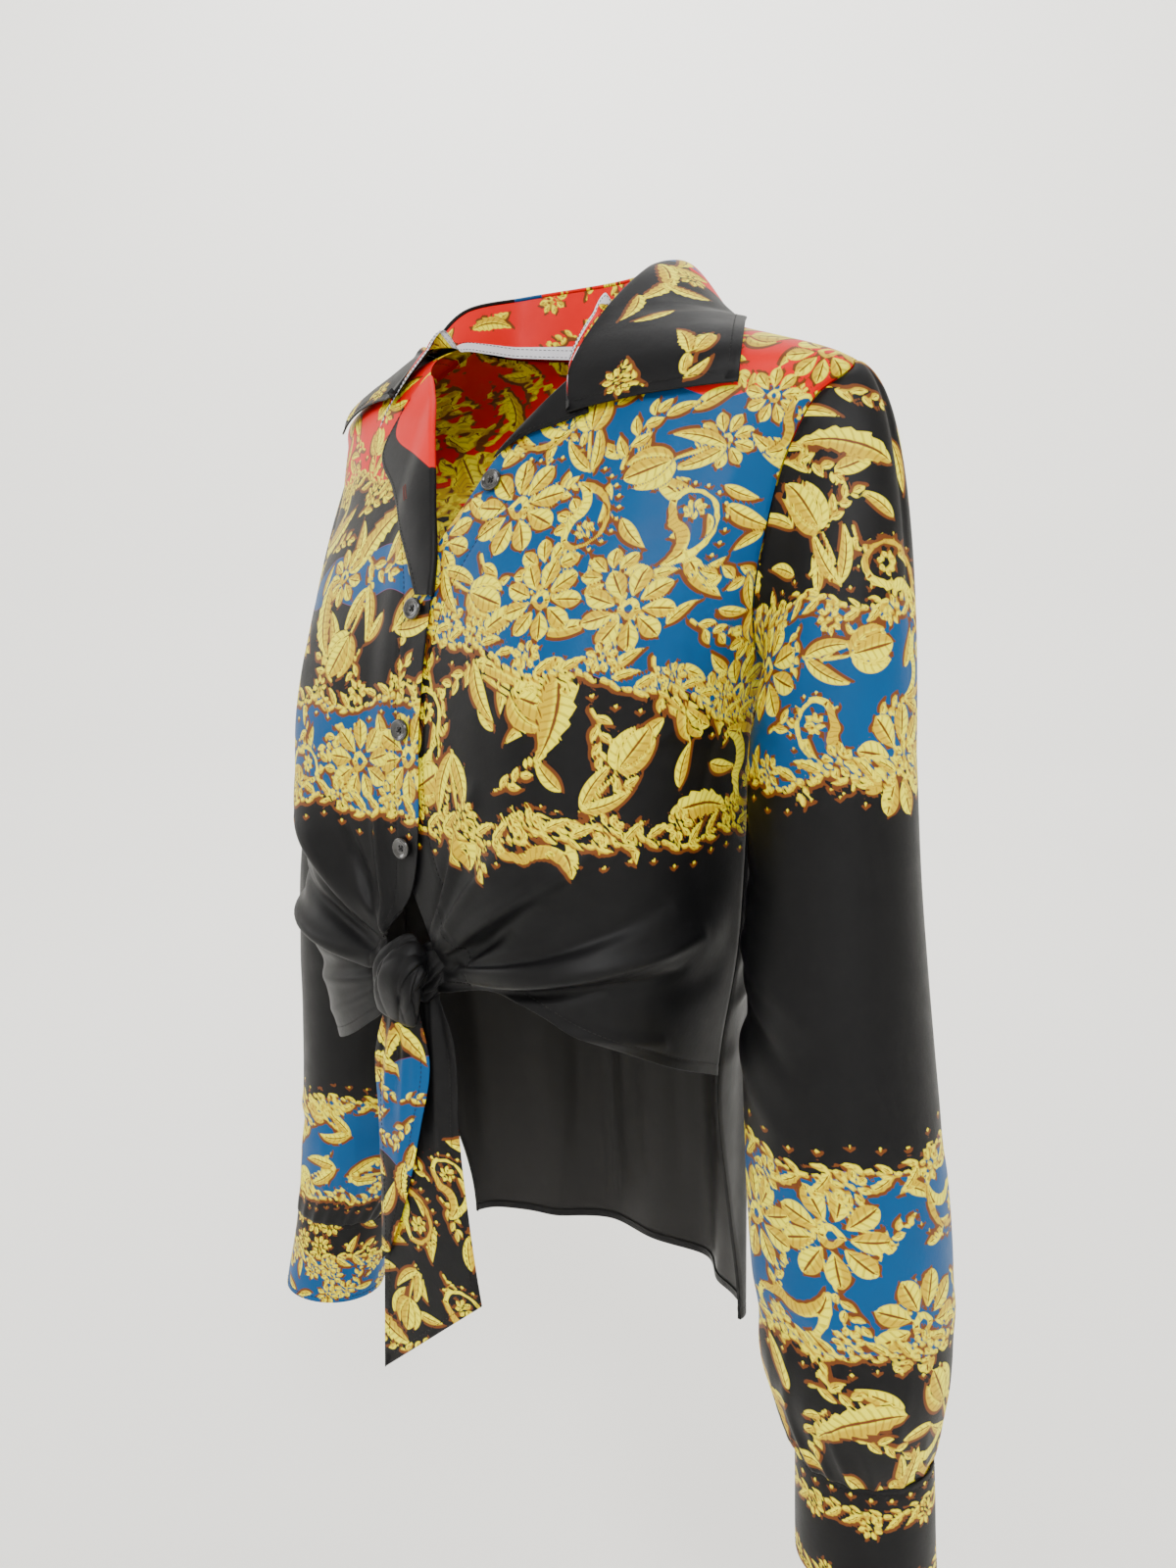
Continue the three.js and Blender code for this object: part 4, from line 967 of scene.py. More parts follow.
class Cloth:
    """A grid of points in millimetres, with each point's place in the cut: across and down."""

    def __init__(self, points, across, down, axis):
        self.points = points
        self.across = across + 0 * points[..., 0]
        self.down = down + 0 * points[..., 0]
        self.flip = False
        away = (points - np.array([axis[0], axis[1], 0.0])) * np.array([1, 1, 0])
        self.flip = float((self.out() * away).sum()) < 0

    def out(self):
        """Outward direction at each point."""
        down = np.gradient(self.points, axis=0)
        across = np.gradient(self.points, axis=1)
        found = unit(np.cross(down, across))
        return -found if self.flip else found

    def raise_by(self, height):
        self.points = self.points + self.out() * np.asarray(height)[..., None]

    def inset(self, side, distance):
        """Points and outward directions of a line that runs at a distance from one edge."""
        points, out = self.points, self.out()
        if side in ("top", "bottom"):
            points, out = points.swapaxes(0, 1), out.swapaxes(0, 1)
        if side in ("bottom", "end"):
            points, out = points[:, ::-1], out[:, ::-1]
        run = run_length(points, 1)
        line = []
        for where, place, way in zip(run, points, out):
            line.append([np.interp(distance, where, field[:, k])
                         for field in (place, way) for k in range(3)])
        line = np.array(line)
        return line[:, :3], unit(line[:, 3:])

    def turn_edge(self, side, depth, thick, angle=np.pi):
        """Turns an edge in: round a small bend by an angle, then on for a depth."""
        fields = [self.points, self.across[..., None], self.down[..., None], self.out()]
        order = {"bottom": (0, 0), "top": (0, 1), "end": (1, 0), "start": (1, 1)}[side]
        work = np.concatenate(fields, axis=-1)
        if order[0]:
            work = work.swapaxes(0, 1)
        if order[1]:
            work = work[::-1]
        points, rest, out = work[..., :3], work[..., 3:5], work[..., 5:]
        way = unit(points[-1] - points[-3])
        new = []
        for turned in np.linspace(0, angle, 6)[1:]:
            bend = way * math.sin(turned) - out[-1] * (1 - math.cos(turned))
            new.append(np.concatenate([points[-1] + bend * thick / 2, rest[-1]], axis=-1))
        if angle > 3:
            step = np.linalg.norm(points[-1] - points[-2], axis=-1).mean()
            for k in range(2, max(2, min(int(depth / step), len(points) // 2)) + 2):
                inside = points[-k] - out[-k] * thick
                new.append(np.concatenate([inside, rest[-k]], axis=-1))
        else:
            on = way * math.cos(angle) - out[-1] * math.sin(angle)
            for share in (0.5, 1):
                place = new[4][..., :3] + on * depth * share
                new.append(np.concatenate([place, rest[-1]], axis=-1))
        work = np.concatenate([work[..., :5], np.array(new)], axis=0)
        if order[1]:
            work = work[::-1]
        if order[0]:
            work = work.swapaxes(0, 1)
        self.points, self.across, self.down = work[..., :3], work[..., 3], work[..., 4]

    def hem(self, *sides, depth=8, thick=0.8):
        for side in sides:
            self.turn_edge(side, depth, thick)

    def seam(self, *sides, depth=2.5, thick=1.0):
        for side in sides:
            self.turn_edge(side, depth, thick, math.pi / 2)

    def make(self, name, material, print_fields):
        """Makes the mesh, with the print's fields on its points."""
        count_down, count_across = self.points.shape[:2]
        j, i = np.meshgrid(np.arange(count_down - 1), np.arange(count_across - 1), indexing="ij")
        first = j * count_across + i
        quads = np.stack([first, first + count_across, first + count_across + 1, first + 1], -1)
        quads = quads.reshape(-1, 4)
        if self.flip:
            quads = quads[:, ::-1]
        piece = make_mesh(name, self.points.reshape(-1, 3), quads, material)
        for field, values in print_fields(self.across.ravel(), self.down.ravel()).items():
            layer = piece.data.attributes.new(field, "FLOAT_VECTOR", "POINT")
            layer.data.foreach_set("vector", np.asarray(values, np.float32).ravel())
        return piece


def make_mesh(name, points, faces, material):
    """Adds a mesh object. Points are in millimetres; every face has the same number of corners."""
    mesh = bpy.data.meshes.new(name)
    mesh.vertices.add(len(points))
    mesh.vertices.foreach_set("co", np.asarray(points * MM, np.float32).ravel())
    faces = np.asarray(faces, np.int32)
    corners = faces.shape[1]
    mesh.loops.add(faces.size)
    mesh.loops.foreach_set("vertex_index", faces.ravel())
    mesh.polygons.add(len(faces))
    mesh.polygons.foreach_set("loop_start", np.arange(len(faces), dtype=np.int32) * corners)
    mesh.polygons.foreach_set("loop_total", np.full(len(faces), corners, np.int32))
    mesh.polygons.foreach_set("use_smooth", np.full(len(faces), True))
    mesh.update(calc_edges=True)
    mesh.materials.append(material)
    piece = bpy.data.objects.new(name, mesh)
    bpy.context.scene.collection.objects.link(piece)
    return piece


def ring_faces(rings, count):
    """Faces that join rings of the same number of points."""
    j, i = np.meshgrid(np.arange(rings - 1), np.arange(count), indexing="ij")
    n = (i + 1) % count
    quads = np.stack([j * count + i, j * count + n, (j + 1) * count + n, (j + 1) * count + i], -1)
    return quads.reshape(-1, 4)


def grid(across, down):
    """Shares across and down a piece, as a row and a column."""
    return np.linspace(0, 1, across + 1)[None, :], np.linspace(0, 1, down + 1)[:, None]


def steps(size, step):
    """Number of cells across and down a piece of this size."""
    return tuple(round(length / step) for length in size)


def run_length(points, axis):
    """Length along the cloth from its first row or column."""
    steps = np.linalg.norm(np.diff(points, axis=axis), axis=-1)
    total = np.cumsum(steps, axis=axis)
    zero = np.zeros_like(np.take(total, [0], axis=axis))
    return np.concatenate([zero, total], axis=axis)


def creases(lines, across, down):
    """Height of soft folds. Each bends from one place to another, with a height, a half width
    and a lean: a leaning one is steeper at one side."""
    height = np.zeros(across.shape)
    t = np.linspace(0, 1, CREASE_STEPS + 1)
    for x0, y0, bend_x, bend_y, x1, y1, high, wide, lean in lines.values:
        px = x0 * (1 - t) ** 2 + 2 * bend_x * t * (1 - t) + x1 * t**2
        py = y0 * (1 - t) ** 2 + 2 * bend_y * t * (1 - t) + y1 * t**2
        reach = CREASE_REACH * wide
        near = ((across > px.min() - reach) & (across < px.max() + reach)
                & (down > py.min() - reach) & (down < py.max() + reach))
        if not near.any():
            continue
        ax, dy = across[near][:, None] - px[:-1], down[near][:, None] - py[:-1]
        sx, sy = np.diff(px), np.diff(py)
        size = np.maximum(np.hypot(sx, sy), 1e-6)
        ux, uy = sx / size, sy / size
        run = np.clip(ax * ux + dy * uy, 0, size)
        far = np.hypot(ax - run * ux, dy - run * uy)
        best = far.argmin(axis=1)
        pick = np.arange(len(best))
        off = (ux * dy - uy * ax)[pick, best]
        distance = far[pick, best]
        along = (best + run[pick, best] / size[best]) / CREASE_STEPS
        fade = np.sin(np.pi * np.clip(0.04 + 0.92 * along, 0, 1)) ** 0.6
        spread = wide * (0.75 + 0.5 * along)
        shape = np.exp(-((distance / spread) ** 2)) * (1 - lean * np.tanh(off / spread))
        height[near] += high * fade * shape
    return height


def dip(distance, deep, wide):
    """A shallow valley beside a seam or along a row of stitches."""
    return -deep * np.exp(-((distance / wide) ** 2))


def place_piece(piece, node):
    """Fixes a finished piece to the shirt and puts it in the place of its solid."""
    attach(piece, "root")
    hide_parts(node)


def finish_piece(cloth, name, print_fields, threads=()):
    """Makes a piece of cloth in the place of its solid, and its rows of thread."""
    piece = cloth.make(name, materials()["printed cloth"], print_fields)
    place_piece(piece, name)
    return piece, [stitch_pieces(name + "_stitches", threads)] if threads else []


def from_edges(cloth, *sides):
    """Distance of each point from the nearest of some edges."""
    return np.min([edge_distance(cloth, side) for side in sides], axis=0)


def front_cloth(side, inner, hem, folds, across, down):
    """Grid of a front, with across in millimetres from the middle of the body."""
    u, v = grid(across, down)
    angle, drop = front_place(inner, hem)(u, v)
    points = front_point(side, folds, angle, drop, SHELL_OUT)
    start = side * (points[:, :1, 0] - BODY.at(drop[:, :1])["side"])
    arc = start + run_length(points[..., :2], 1)
    return Cloth(points, arc, -points[..., 2], (0, 0))


def back_cloth(across, down):
    """Grid of the back, with across in millimetres from its middle line."""
    u, v = grid(across, down)
    place = fill(back_top, back_hem, back_side(False), back_side(True))
    angle, drop = place(u, v)
    points = body(angle, drop)
    height = SHELL_OUT
    for fold_angle, high, wide, start in BACK_FOLDS.values:
        fade = ease((drop - start) / BACK_FOLD_GROWS)
        height = height + high * fade * np.exp(-(((angle - fold_angle) / wide) ** 2))
    away = unit(points * np.array([1, 1, 0]))
    points = points + away * height[..., None]
    points[..., 1] += SHOULDER_SEAM_BACK * np.clip(1 - 14 * v, 0, 1)
    arc = run_length(points[..., :2], 1)
    return Cloth(points, arc - arc[:, across // 2][:, None], -points[..., 2], (0, 0))


def sleeve_cloth(side, table, across, down):
    """Grid of a sleeve, cut open along its seam under the arm."""
    u, v = grid(across, down)
    points = sleeve_form(side, table)((0.5 + u) % 1, v)
    arc = (u - 0.5) * 2 * np.pi * SLEEVE_RADIUS
    axis = (table.at(400)["x"], table.at(400)["y"])
    return Cloth(points, arc, -points[..., 2], axis)


def edge_distance(cloth, side):
    """Distance of each point from one edge, measured along the cloth."""
    axis = 0 if side in ("top", "bottom") else 1
    run = run_length(cloth.points, axis)
    if side in ("bottom", "end"):
        run = np.take(run, [-1], axis=axis) - run
    return run


def stitch_pieces(name, lines, thread="black thread", length=2.0, gap=0.8, thick=0.22,
                  lift=0.1):
    """Joins rows of thread into one mesh; every line is points and outward directions."""
    points, faces = [], []
    ring = 6
    profile = np.array([(0.0, 0.25), (0.18, 0.85), (0.5, 1.0), (0.82, 0.85), (1.0, 0.25)])
    turn = 2 * np.pi * np.arange(ring) / ring
    count = 0
    for line, out in lines:
        run = np.concatenate([[0], np.cumsum(np.linalg.norm(np.diff(line, axis=0), axis=1))])
        starts = np.arange(gap, run[-1] - length, length + gap)
        for start in starts:
            ends = [np.array([np.interp(start + at, run, line[:, k]) for k in range(3)])
                    for at in (0, length)]
            way = unit(ends[1] - ends[0])
            away = unit(np.array([np.interp(start + length / 2, run, out[:, k]) for k in range(3)]))
            across = np.cross(way, away)
            for share, wide in profile:
                bow = lift + 0.16 * math.sin(math.pi * share) - 0.12
                middle = ends[0] + (ends[1] - ends[0]) * share + away * bow
                for angle in turn:
                    points.append(middle + thick * wide * (across * math.cos(angle)
                                                           + away * math.sin(angle)))
            for j in range(len(profile) - 1):
                for k in range(ring):
                    n = (k + 1) % ring
                    a = count + j * ring
                    faces.append((a + k, a + n, a + ring + n, a + ring + k))
            count += len(profile) * ring
    piece = make_mesh(name, np.array(points), faces, materials()[thread])
    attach(piece, "root")
    return piece


SHAPES = {
    "leaf": lambda t: np.sin(np.pi * t**0.75) ** 0.9,
    "petal": lambda t: np.sin(np.pi * t**1.4) ** 0.6,
    "stem": lambda t: 1 - 0.55 * t,
    "drop": lambda t: np.where(
        t < 0.32,
        np.sqrt(np.clip(1 - ((0.32 - t) / 0.32) ** 2, 0, 1)),
        np.clip((1 - t) / 0.68, 0, 1) ** 0.85,
    ),
}
def onward(x, y, heading, distance):
    """Where a straight step along a heading in degrees ends."""
    way = math.radians(heading)
    return x + distance * math.cos(way), y + distance * math.sin(way)


class Print:
    """The print of one piece: gold strokes drawn over its places across and down."""

    def __init__(self, across, down, seed):
        self.x, self.y = across, down
        self.edge = np.full(across.shape, NOT_THERE)
        self.side = np.zeros(across.shape)
        self.along = np.zeros(across.shape)
        self.rng = np.random.RandomState(seed)
        self.low = np.array([across.min(), down.min()])
        column = ((across - self.low[0]) // CELL).astype(int)
        line = ((down - self.low[1]) // CELL).astype(int)
        self.shape = (column.max() + 1, line.max() + 1)
        key = column * self.shape[1] + line
        self.order = np.argsort(key, kind="stable")
        self.starts = np.searchsorted(key[self.order], np.arange(self.shape[0] * self.shape[1] + 1))

    def gold(self):
        return self.edge, self.side, self.along

    def near(self, low, high):
        """Points of the cells that touch a box."""
        first = np.maximum(((low - self.low) // CELL).astype(int), 0)
        last = np.minimum(((high - self.low) // CELL).astype(int), np.array(self.shape) - 1)
        found = []
        for column in range(first[0], last[0] + 1):
            key = column * self.shape[1]
            if first[1] <= last[1]:
                found.append(self.order[self.starts[key + first[1]]:self.starts[key + last[1] + 1]])
        return np.concatenate(found) if found else np.array([], int)

    def stroke(self, x, y, heading, length, bend, half, shape="leaf", teeth=0, hole=False):
        """One stroke from a point, along a heading that turns by the bend, in degrees."""
        t = np.linspace(0, 1, STROKE_STEPS + 1)
        middle = np.radians(heading + bend * (t[:-1] + t[1:]) / 2)
        step = length / STROKE_STEPS
        px = x + np.concatenate([[0], np.cumsum(np.cos(middle) * step)])
        py = y + np.concatenate([[0], np.cumsum(np.sin(middle) * step)])
        reach = half + 3
        where = self.near(np.array([px.min(), py.min()]) - reach,
                          np.array([px.max(), py.max()]) + reach)
        if not len(where):
            return
        ax, dy = self.x[where][:, None] - px[:-1], self.y[where][:, None] - py[:-1]
        ux, uy = np.cos(middle), np.sin(middle)
        run = np.clip(ax * ux + dy * uy, 0, step)
        ox, oy = ax - run * ux, dy - run * uy
        far = np.hypot(ox, oy)
        best = far.argmin(axis=1)
        pick = np.arange(len(where))
        distance = far[pick, best]
        side = np.sign(ux[best] * oy[pick, best] - uy[best] * ox[pick, best])
        share = (best + run[pick, best] / step) / STROKE_STEPS
        wide = half * SHAPES[shape](share)
        if teeth:
            wide = wide * (1 - 0.3 * ((share * teeth) % 1))
        own = np.maximum(wide, 0.02) - distance
        if hole:
            self.edge[where] = np.minimum(self.edge[where], -own)
            return
        old = np.minimum(self.edge[where], -own - STROKE_GAP)
        on_top = own > old
        self.edge[where] = np.where(on_top, own, old)
        changed = where[on_top]
        self.side[changed] = (side * distance / np.maximum(wide, 0.3))[on_top]
        self.along[changed] = (share * length)[on_top]

    def daisy(self, x, y, size, turn):
        count = 8 + int(size > 24)
        for k in range(count):
            heading = turn + 360 * k / count
            self.stroke(*onward(x, y, heading, 0.15 * size), heading, 0.38 * size, 8,
                        0.115 * size, "petal")
        self.stroke(x - 0.13 * size, y, 0, 0.26 * size, 0, 0.13 * size, "petal")
        self.stroke(x - 0.05 * size, y, 0, 0.1 * size, 0, 0.06 * size, "petal", hole=True)

    def sprig(self, x, y, heading, size, bend=35):
        self.stroke(x, y, heading, size, bend, 0.03 * size + 0.3, "stem")
        for k, share in enumerate((0.18, 0.36, 0.54, 0.72, 0.9)):
            start = onward(x, y, heading + bend * share / 2, size * share)
            hand = 1 if k % 2 else -1
            self.stroke(*start, heading + bend * share + 48 * hand, size * (0.42 - 0.16 * share),
                        -25 * hand, 0.085 * size)
        self.stroke(*onward(x, y, heading + bend / 2, 0.96 * size), heading + bend, size * 0.3, 0,
                    0.08 * size)

    def paisley(self, x, y, heading, size, hand=1):
        self.stroke(x, y, heading, size, 150 * hand, 0.25 * size, "drop")
        self.stroke(*onward(x, y, heading, 0.07 * size), heading, size * 0.72, 120 * hand,
                    0.17 * size, "drop", hole=True)
        lean = heading + 12 * hand
        cx, cy = onward(x, y, lean, 0.27 * size)
        for k in range(7):
            self.stroke(cx, cy, heading + 20 + 360 * k / 7, 0.12 * size, 0, 0.035 * size, "petal")
        self.stroke(*onward(cx, cy, lean, 0.15 * size), heading + 45 * hand, 0.27 * size,
                    60 * hand, 0.035 * size)
        if size > 34:
            self.beads(x, y, heading, size, hand)

    def beads(self, x, y, heading, size, hand):
        """A row of beads round the outer side of a paisley."""
        for k in range(11):
            share = 0.02 + 0.078 * k
            px, py = onward(x, y, heading + 150 * hand * share / 2, size * share)
            wide = 0.25 * size * float(SHAPES["drop"](np.array(share))) + 2.6
            px, py = onward(px, py, heading + 150 * hand * share - 90 * hand, wide)
            self.stroke(px - 1, py, 0, 2.2, 0, 1.15, "petal")

    def tulip(self, x, y, heading, size, bend=20):
        self.stroke(x, y, heading, 0.55 * size, bend, 0.028 * size + 0.3, "stem")
        for hand in (-1, 1):
            self.stroke(x, y, heading + 38 * hand, 0.6 * size, -40 * hand, 0.075 * size)
        top = onward(x, y, heading + bend / 2, 0.52 * size)
        for hand in (-1, 1):
            self.stroke(*top, heading + bend + 52 * hand, 0.5 * size, -70 * hand, 0.1 * size)
        self.stroke(*top, heading + bend, 0.5 * size, 0, 0.13 * size, "petal")

    def fern(self, x, y, heading, size, bend):
        """A long toothed leaf."""
        self.stroke(x, y, heading, size, bend, 0.17 * size, "leaf", teeth=7)

    def fill(self, inside, spacing, kinds, sizes):
        """Fills the area where inside is above 0 with motifs in uneven rows."""
        low_x, low_y = self.x.min(), self.y.min()
        count_x = int((self.x.max() - low_x) / spacing) + 2
        count_y = int((self.y.max() - low_y) / (0.86 * spacing)) + 2
        number = 0
        for j in range(count_y):
            for i in range(count_x):
                shift = 0.5 * (j % 2)
                jump = self.rng.uniform(-0.22, 0.22, 2)
                x = low_x + spacing * (i + shift + jump[0])
                y = low_y + 0.86 * spacing * (j + jump[1])
                roll, size_roll = self.rng.uniform(size=2)
                number += 1
                if inside(x, y) < 0:
                    continue
                size = sizes[0] + (sizes[1] - sizes[0]) * size_roll
                kind = kinds[(number + int(roll * 2)) % len(kinds)]
                heading = 360 * roll
                hand = 1 if number % 2 else -1
                sx, sy = onward(x, y, heading, -0.4 * size)
                if kind == "daisy":
                    self.daisy(x, y, size, heading)
                elif kind == "leaf":
                    self.stroke(sx, sy, heading, size, 30 * hand, 0.16 * size)
                else:
                    getattr(self, kind)(sx, sy, heading, size, MOTIF_BEND[kind] * hand)

    def border(self, line, up, x_from, x_to, tall):
        """A garland along a line: a stem with leaves on both sides, flowers and beads."""
        x = x_from
        number = 0
        while x < x_to:
            y = line(x)
            ahead = math.degrees(math.atan2(line(x + 16) - y, 16))
            self.stroke(x, y, ahead + 8, 17, -16, 1.5, "stem")
            for hand in (-1, 1):
                lean = 52 if hand == up else 38
                size = tall * (1.0 if hand == up else 0.62)
                self.stroke(x + 3, y, ahead + lean * hand, size, -34 * hand, 0.17 * size, "leaf", 5)
            if number % 3 == 1:
                self.daisy(x + 9, y + 0.45 * tall * up, 0.95 * tall, 20 * number)
            self.stroke(x + 7, line(x + 8) - up * 0.62 * tall, 0, 2.6, 0, 1.3, "petal")
            x += 0.78 * tall
            number += 1


def zone_line(inner, outer, wide, wave, phase):
    """Depth of a zone's edge across a piece, a little wavy."""

    def line(x):
        across = inner + (outer - inner) * np.clip(x / wide, -1.2, 1.2)
        return across + wave * np.sin(x / 8.5 + phase) + 0.7 * wave * np.sin(x / 19 + 2 * phase)

    return line


def draw_print(across, down, seed, wide, zones):
    """Draws zones, each from one line down to the next, as fields for the material."""
    work = Print(across, down, seed)
    blue, black = np.full(across.shape, NOT_THERE), np.full(across.shape, NOT_THERE)
    lines = []
    for k, area in enumerate(zones):
        lines.append(zone_line(area["inner"], area["outer"], wide, area["wave"], k + seed))
    lines.append(lambda x: 2000.0 + 0 * x)
    for k, area in enumerate(zones):
        top, bottom = lines[k], lines[k + 1]
        inside = np.minimum(down - top(across), bottom(across) - down)
        field = {"blue": blue, "black": black}.get(area["ground"])
        if field is not None:
            np.maximum(field, inside, out=field)
    for k, area in enumerate(zones):
        top, bottom = lines[k], lines[k + 1]
        for spacing, kinds, sizes in area["fill"]:
            work.fill(lambda x, y: min(y - top(x), bottom(x) - y), spacing, kinds, sizes)
    for k, area in enumerate(zones):
        if area["border"]:
            tall, up = area["border"]
            work.border(lines[k], up, across.min(), across.max(), tall)
    return fields(across, down, work.gold(), (blue, black, NOT_THERE))


class Shader:
    """A material built from nodes."""

    def __init__(self, name):
        self.material = bpy.data.materials.new(name)
        self.material.use_nodes = True
        self.tree = self.material.node_tree
        self.surface = self.tree.nodes["Principled BSDF"]

    def add(self, kind, **settings):
        node = self.tree.nodes.new(kind)
        for name, value in settings.items():
            setattr(node, name, value)
        return node

    def plug(self, socket, value):
        if isinstance(value, bpy.types.NodeSocket):
            self.tree.links.new(value, socket)
        else:
            socket.default_value = value

    def math(self, operation, *values, clamp=False):
        node = self.add("ShaderNodeMath", operation=operation, use_clamp=clamp)
        for socket, value in zip(node.inputs, values):
            self.plug(socket, value)
        return node.outputs[0]

    def mix(self, share, first, second):
        node = self.add("ShaderNodeMix", data_type="RGBA")
        for k, value in ((0, share), (6, first), (7, second)):
            self.plug(node.inputs[k], value)
        return node.outputs[2]

    def above(self, value, edge, soft):
        """0 below an edge and 1 above it, with a soft step."""
        shifted = self.math("SUBTRACT", value, edge)
        return self.math("MULTIPLY_ADD", shifted, 1 / soft, 0.5, clamp=True)

    def field(self, name):
        """The three parts of a point field."""
        node = self.add("ShaderNodeAttribute", attribute_name=name)
        split = self.add("ShaderNodeSeparateXYZ")
        self.plug(split.inputs[0], node.outputs["Vector"])
        return list(split.outputs)

    def noise(self, scale, detail=3.0):
        where = self.add("ShaderNodeTexCoord")
        node = self.add("ShaderNodeTexNoise")
        self.plug(node.inputs["Vector"], where.outputs["Object"])
        node.inputs["Scale"].default_value = scale
        node.inputs["Detail"].default_value = detail
        return node.outputs[0]

    def bump(self, height, strength, distance):
        node = self.add("ShaderNodeBump")
        node.inputs["Strength"].default_value = strength
        node.inputs["Distance"].default_value = distance
        self.plug(node.inputs["Height"], height)
        self.plug(self.surface.inputs["Normal"], node.outputs[0])

    def set(self, **values):
        for name, value in values.items():
            self.plug(self.surface.inputs[name.replace("_", " ")], value)


def weave(shader, panel):
    """Fine crossing threads, in the piece's own millimetres."""
    across = shader.math("SINE", shader.math("MULTIPLY", panel[0], 11.0))
    down = shader.math("SINE", shader.math("MULTIPLY", panel[1], 13.0))
    threads = shader.math("MULTIPLY", across, down)
    return shader.math("MULTIPLY_ADD", threads, 0.12, shader.noise(420.0))


def cloth_finish(shader, colour, panel):
    """Surface of the cloth: uneven dye, a satin gloss, threads and a slightly paler wrong side."""
    uneven = shader.math("MULTIPLY_ADD", shader.noise(38.0), 0.28, 0.86)
    tint = shader.add("ShaderNodeHueSaturation")
    shader.plug(tint.inputs["Color"], colour)
    shader.plug(tint.inputs["Value"], uneven)
    side = shader.add("ShaderNodeNewGeometry").outputs["Backfacing"]
    pale = shader.mix(0.03, tint.outputs[0], REVERSE)
    shader.set(Base_Color=shader.mix(side, tint.outputs[0], pale))
    rough = shader.math("MULTIPLY_ADD", shader.noise(90.0), 0.14, 0.42)
    shader.set(Roughness=rough, Specular_IOR_Level=0.16)
    shader.bump(weave(shader, panel), 0.22, 0.0004)
    return shader.material


def printed_cloth(name):
    """Cloth with its print: grounds, brown shadows and gold with veins."""
    shader = Shader(name)
    edge, side, along = shader.field("gold")
    blue, black, white = shader.field("ground")
    panel = shader.field("panel")
    colour = shader.mix(shader.above(black, 0, 0.5), RED, BLACK)
    colour = shader.mix(shader.above(blue, 0, 0.5), colour, BLUE)
    shadow = shader.math("MULTIPLY", shader.above(edge, -1.7, 0.3), shader.above(side, 0.3, 0.3))
    colour = shader.mix(shadow, colour, BROWN)
    off = shader.math("ABSOLUTE", side)
    gold = shader.mix(shader.above(side, 0.28, 0.25), GOLD, OCHRE)
    light = shader.math("MULTIPLY", shader.above(shader.math("MULTIPLY", side, -1.0), 0.25, 0.2),
                        shader.above(edge, 0.9, 0.4))
    gold = shader.mix(shader.math("MULTIPLY", light, 0.6), gold, GOLD_LIGHT)
    slanted = shader.math("MULTIPLY_ADD", off, -2.6, along)
    lines = shader.math("FRACT", shader.math("MULTIPLY", slanted, 0.25))
    veins = shader.math("MULTIPLY", shader.above(lines, 0.72, 0.12), shader.above(edge, 0.7, 0.3))
    gold = shader.mix(shader.math("MULTIPLY", veins, 0.4), gold, BROWN)
    rib = shader.math("SUBTRACT", 1.0, shader.above(off, 0.11, 0.08))
    rib = shader.math("MULTIPLY", rib, shader.above(edge, 1.1, 0.3))
    gold = shader.mix(rib, gold, BROWN)
    rim = shader.math("SUBTRACT", 1.0, shader.above(edge, 0.32, 0.16))
    gold = shader.mix(shader.math("MULTIPLY", rim, 0.35), gold, BROWN)
    colour = shader.mix(shader.above(edge, 0.0, 0.2), colour, gold)
    colour = shader.mix(shader.above(white, 0, 0.4), colour, WHITE)
    return cloth_finish(shader, colour, panel)


def fields(across, down, gold, ground):
    """What the material reads at each point; a value without a place holds all over."""
    return {name: np.stack(np.broadcast_arrays(*parts, across)[:3], -1)
            for name, parts in (("gold", gold), ("ground", ground), ("panel", (across, down, 0.0)))}


def print_of(name):
    """The print of a piece that PRINTS names, as a function of across and down."""
    seed, wide, zones, mirror = PRINTS[name]
    return lambda across, down: draw_print(mirror * across, down, seed, wide, zones)


def print_plain(across, down):
    """Plain black cloth, with the same fields as the printed cloth."""
    return fields(across, down, (NOT_THERE, 0.0, 0.0), (NOT_THERE, -NOT_THERE, NOT_THERE))


def print_lapel(across, down):
    """Black facing along the outer edge, then the red wrong side of the print."""
    black = FACING_SLOPE * (down - FACING_FROM) - across
    return fields(across, down, (NOT_THERE, 0.0, 0.0), (NOT_THERE, black, NOT_THERE))


def print_fall(across, down):
    """Folded collar: red at the back, black leaves, with gold at the points."""
    work = Print(across, down, 31)
    end = np.abs(across).max()
    for hand in (-1, 1):
        turn = 0 if hand > 0 else 180
        for share, depth, size, lean in ((0.34, 4, 30, 50), (0.42, 30, 30, -30), (0.48, 5, 36, 60),
                                         (0.54, 20, 30, 15), (0.56, 44, 28, -55),
                                         (0.64, 12, 26, 35), (0.7, 38, 22, -20)):
            work.fern(hand * share * end, depth, turn + hand * lean, size, -60 * hand)
        work.daisy(hand * 0.49 * end, 26, 17, 10)
        work.tulip(hand * (end - 5), 60, turn + 180 - hand * 40, 30, 25 * hand)
        work.fern(hand * (end - 18), 64, turn + 180 + hand * 10, 26, 40 * hand)
        work.daisy(hand * (end - 9), 27, 15, 0)
        work.sprig(hand * (end - 4), 40, turn + 180 + hand * 50, 16, 40)
    work.fill(lambda x, y: 0.3 * end - abs(x), 24, ("sprig", "daisy", "fern"), (18, 25))
    black = np.abs(across) - 0.44 * end + 5 * np.sin(down / 7)
    blue = 9 - np.abs(np.abs(across) - 0.4 * end) - 0.35 * down
    return fields(across, down, work.gold(), (blue, black, NOT_THERE))


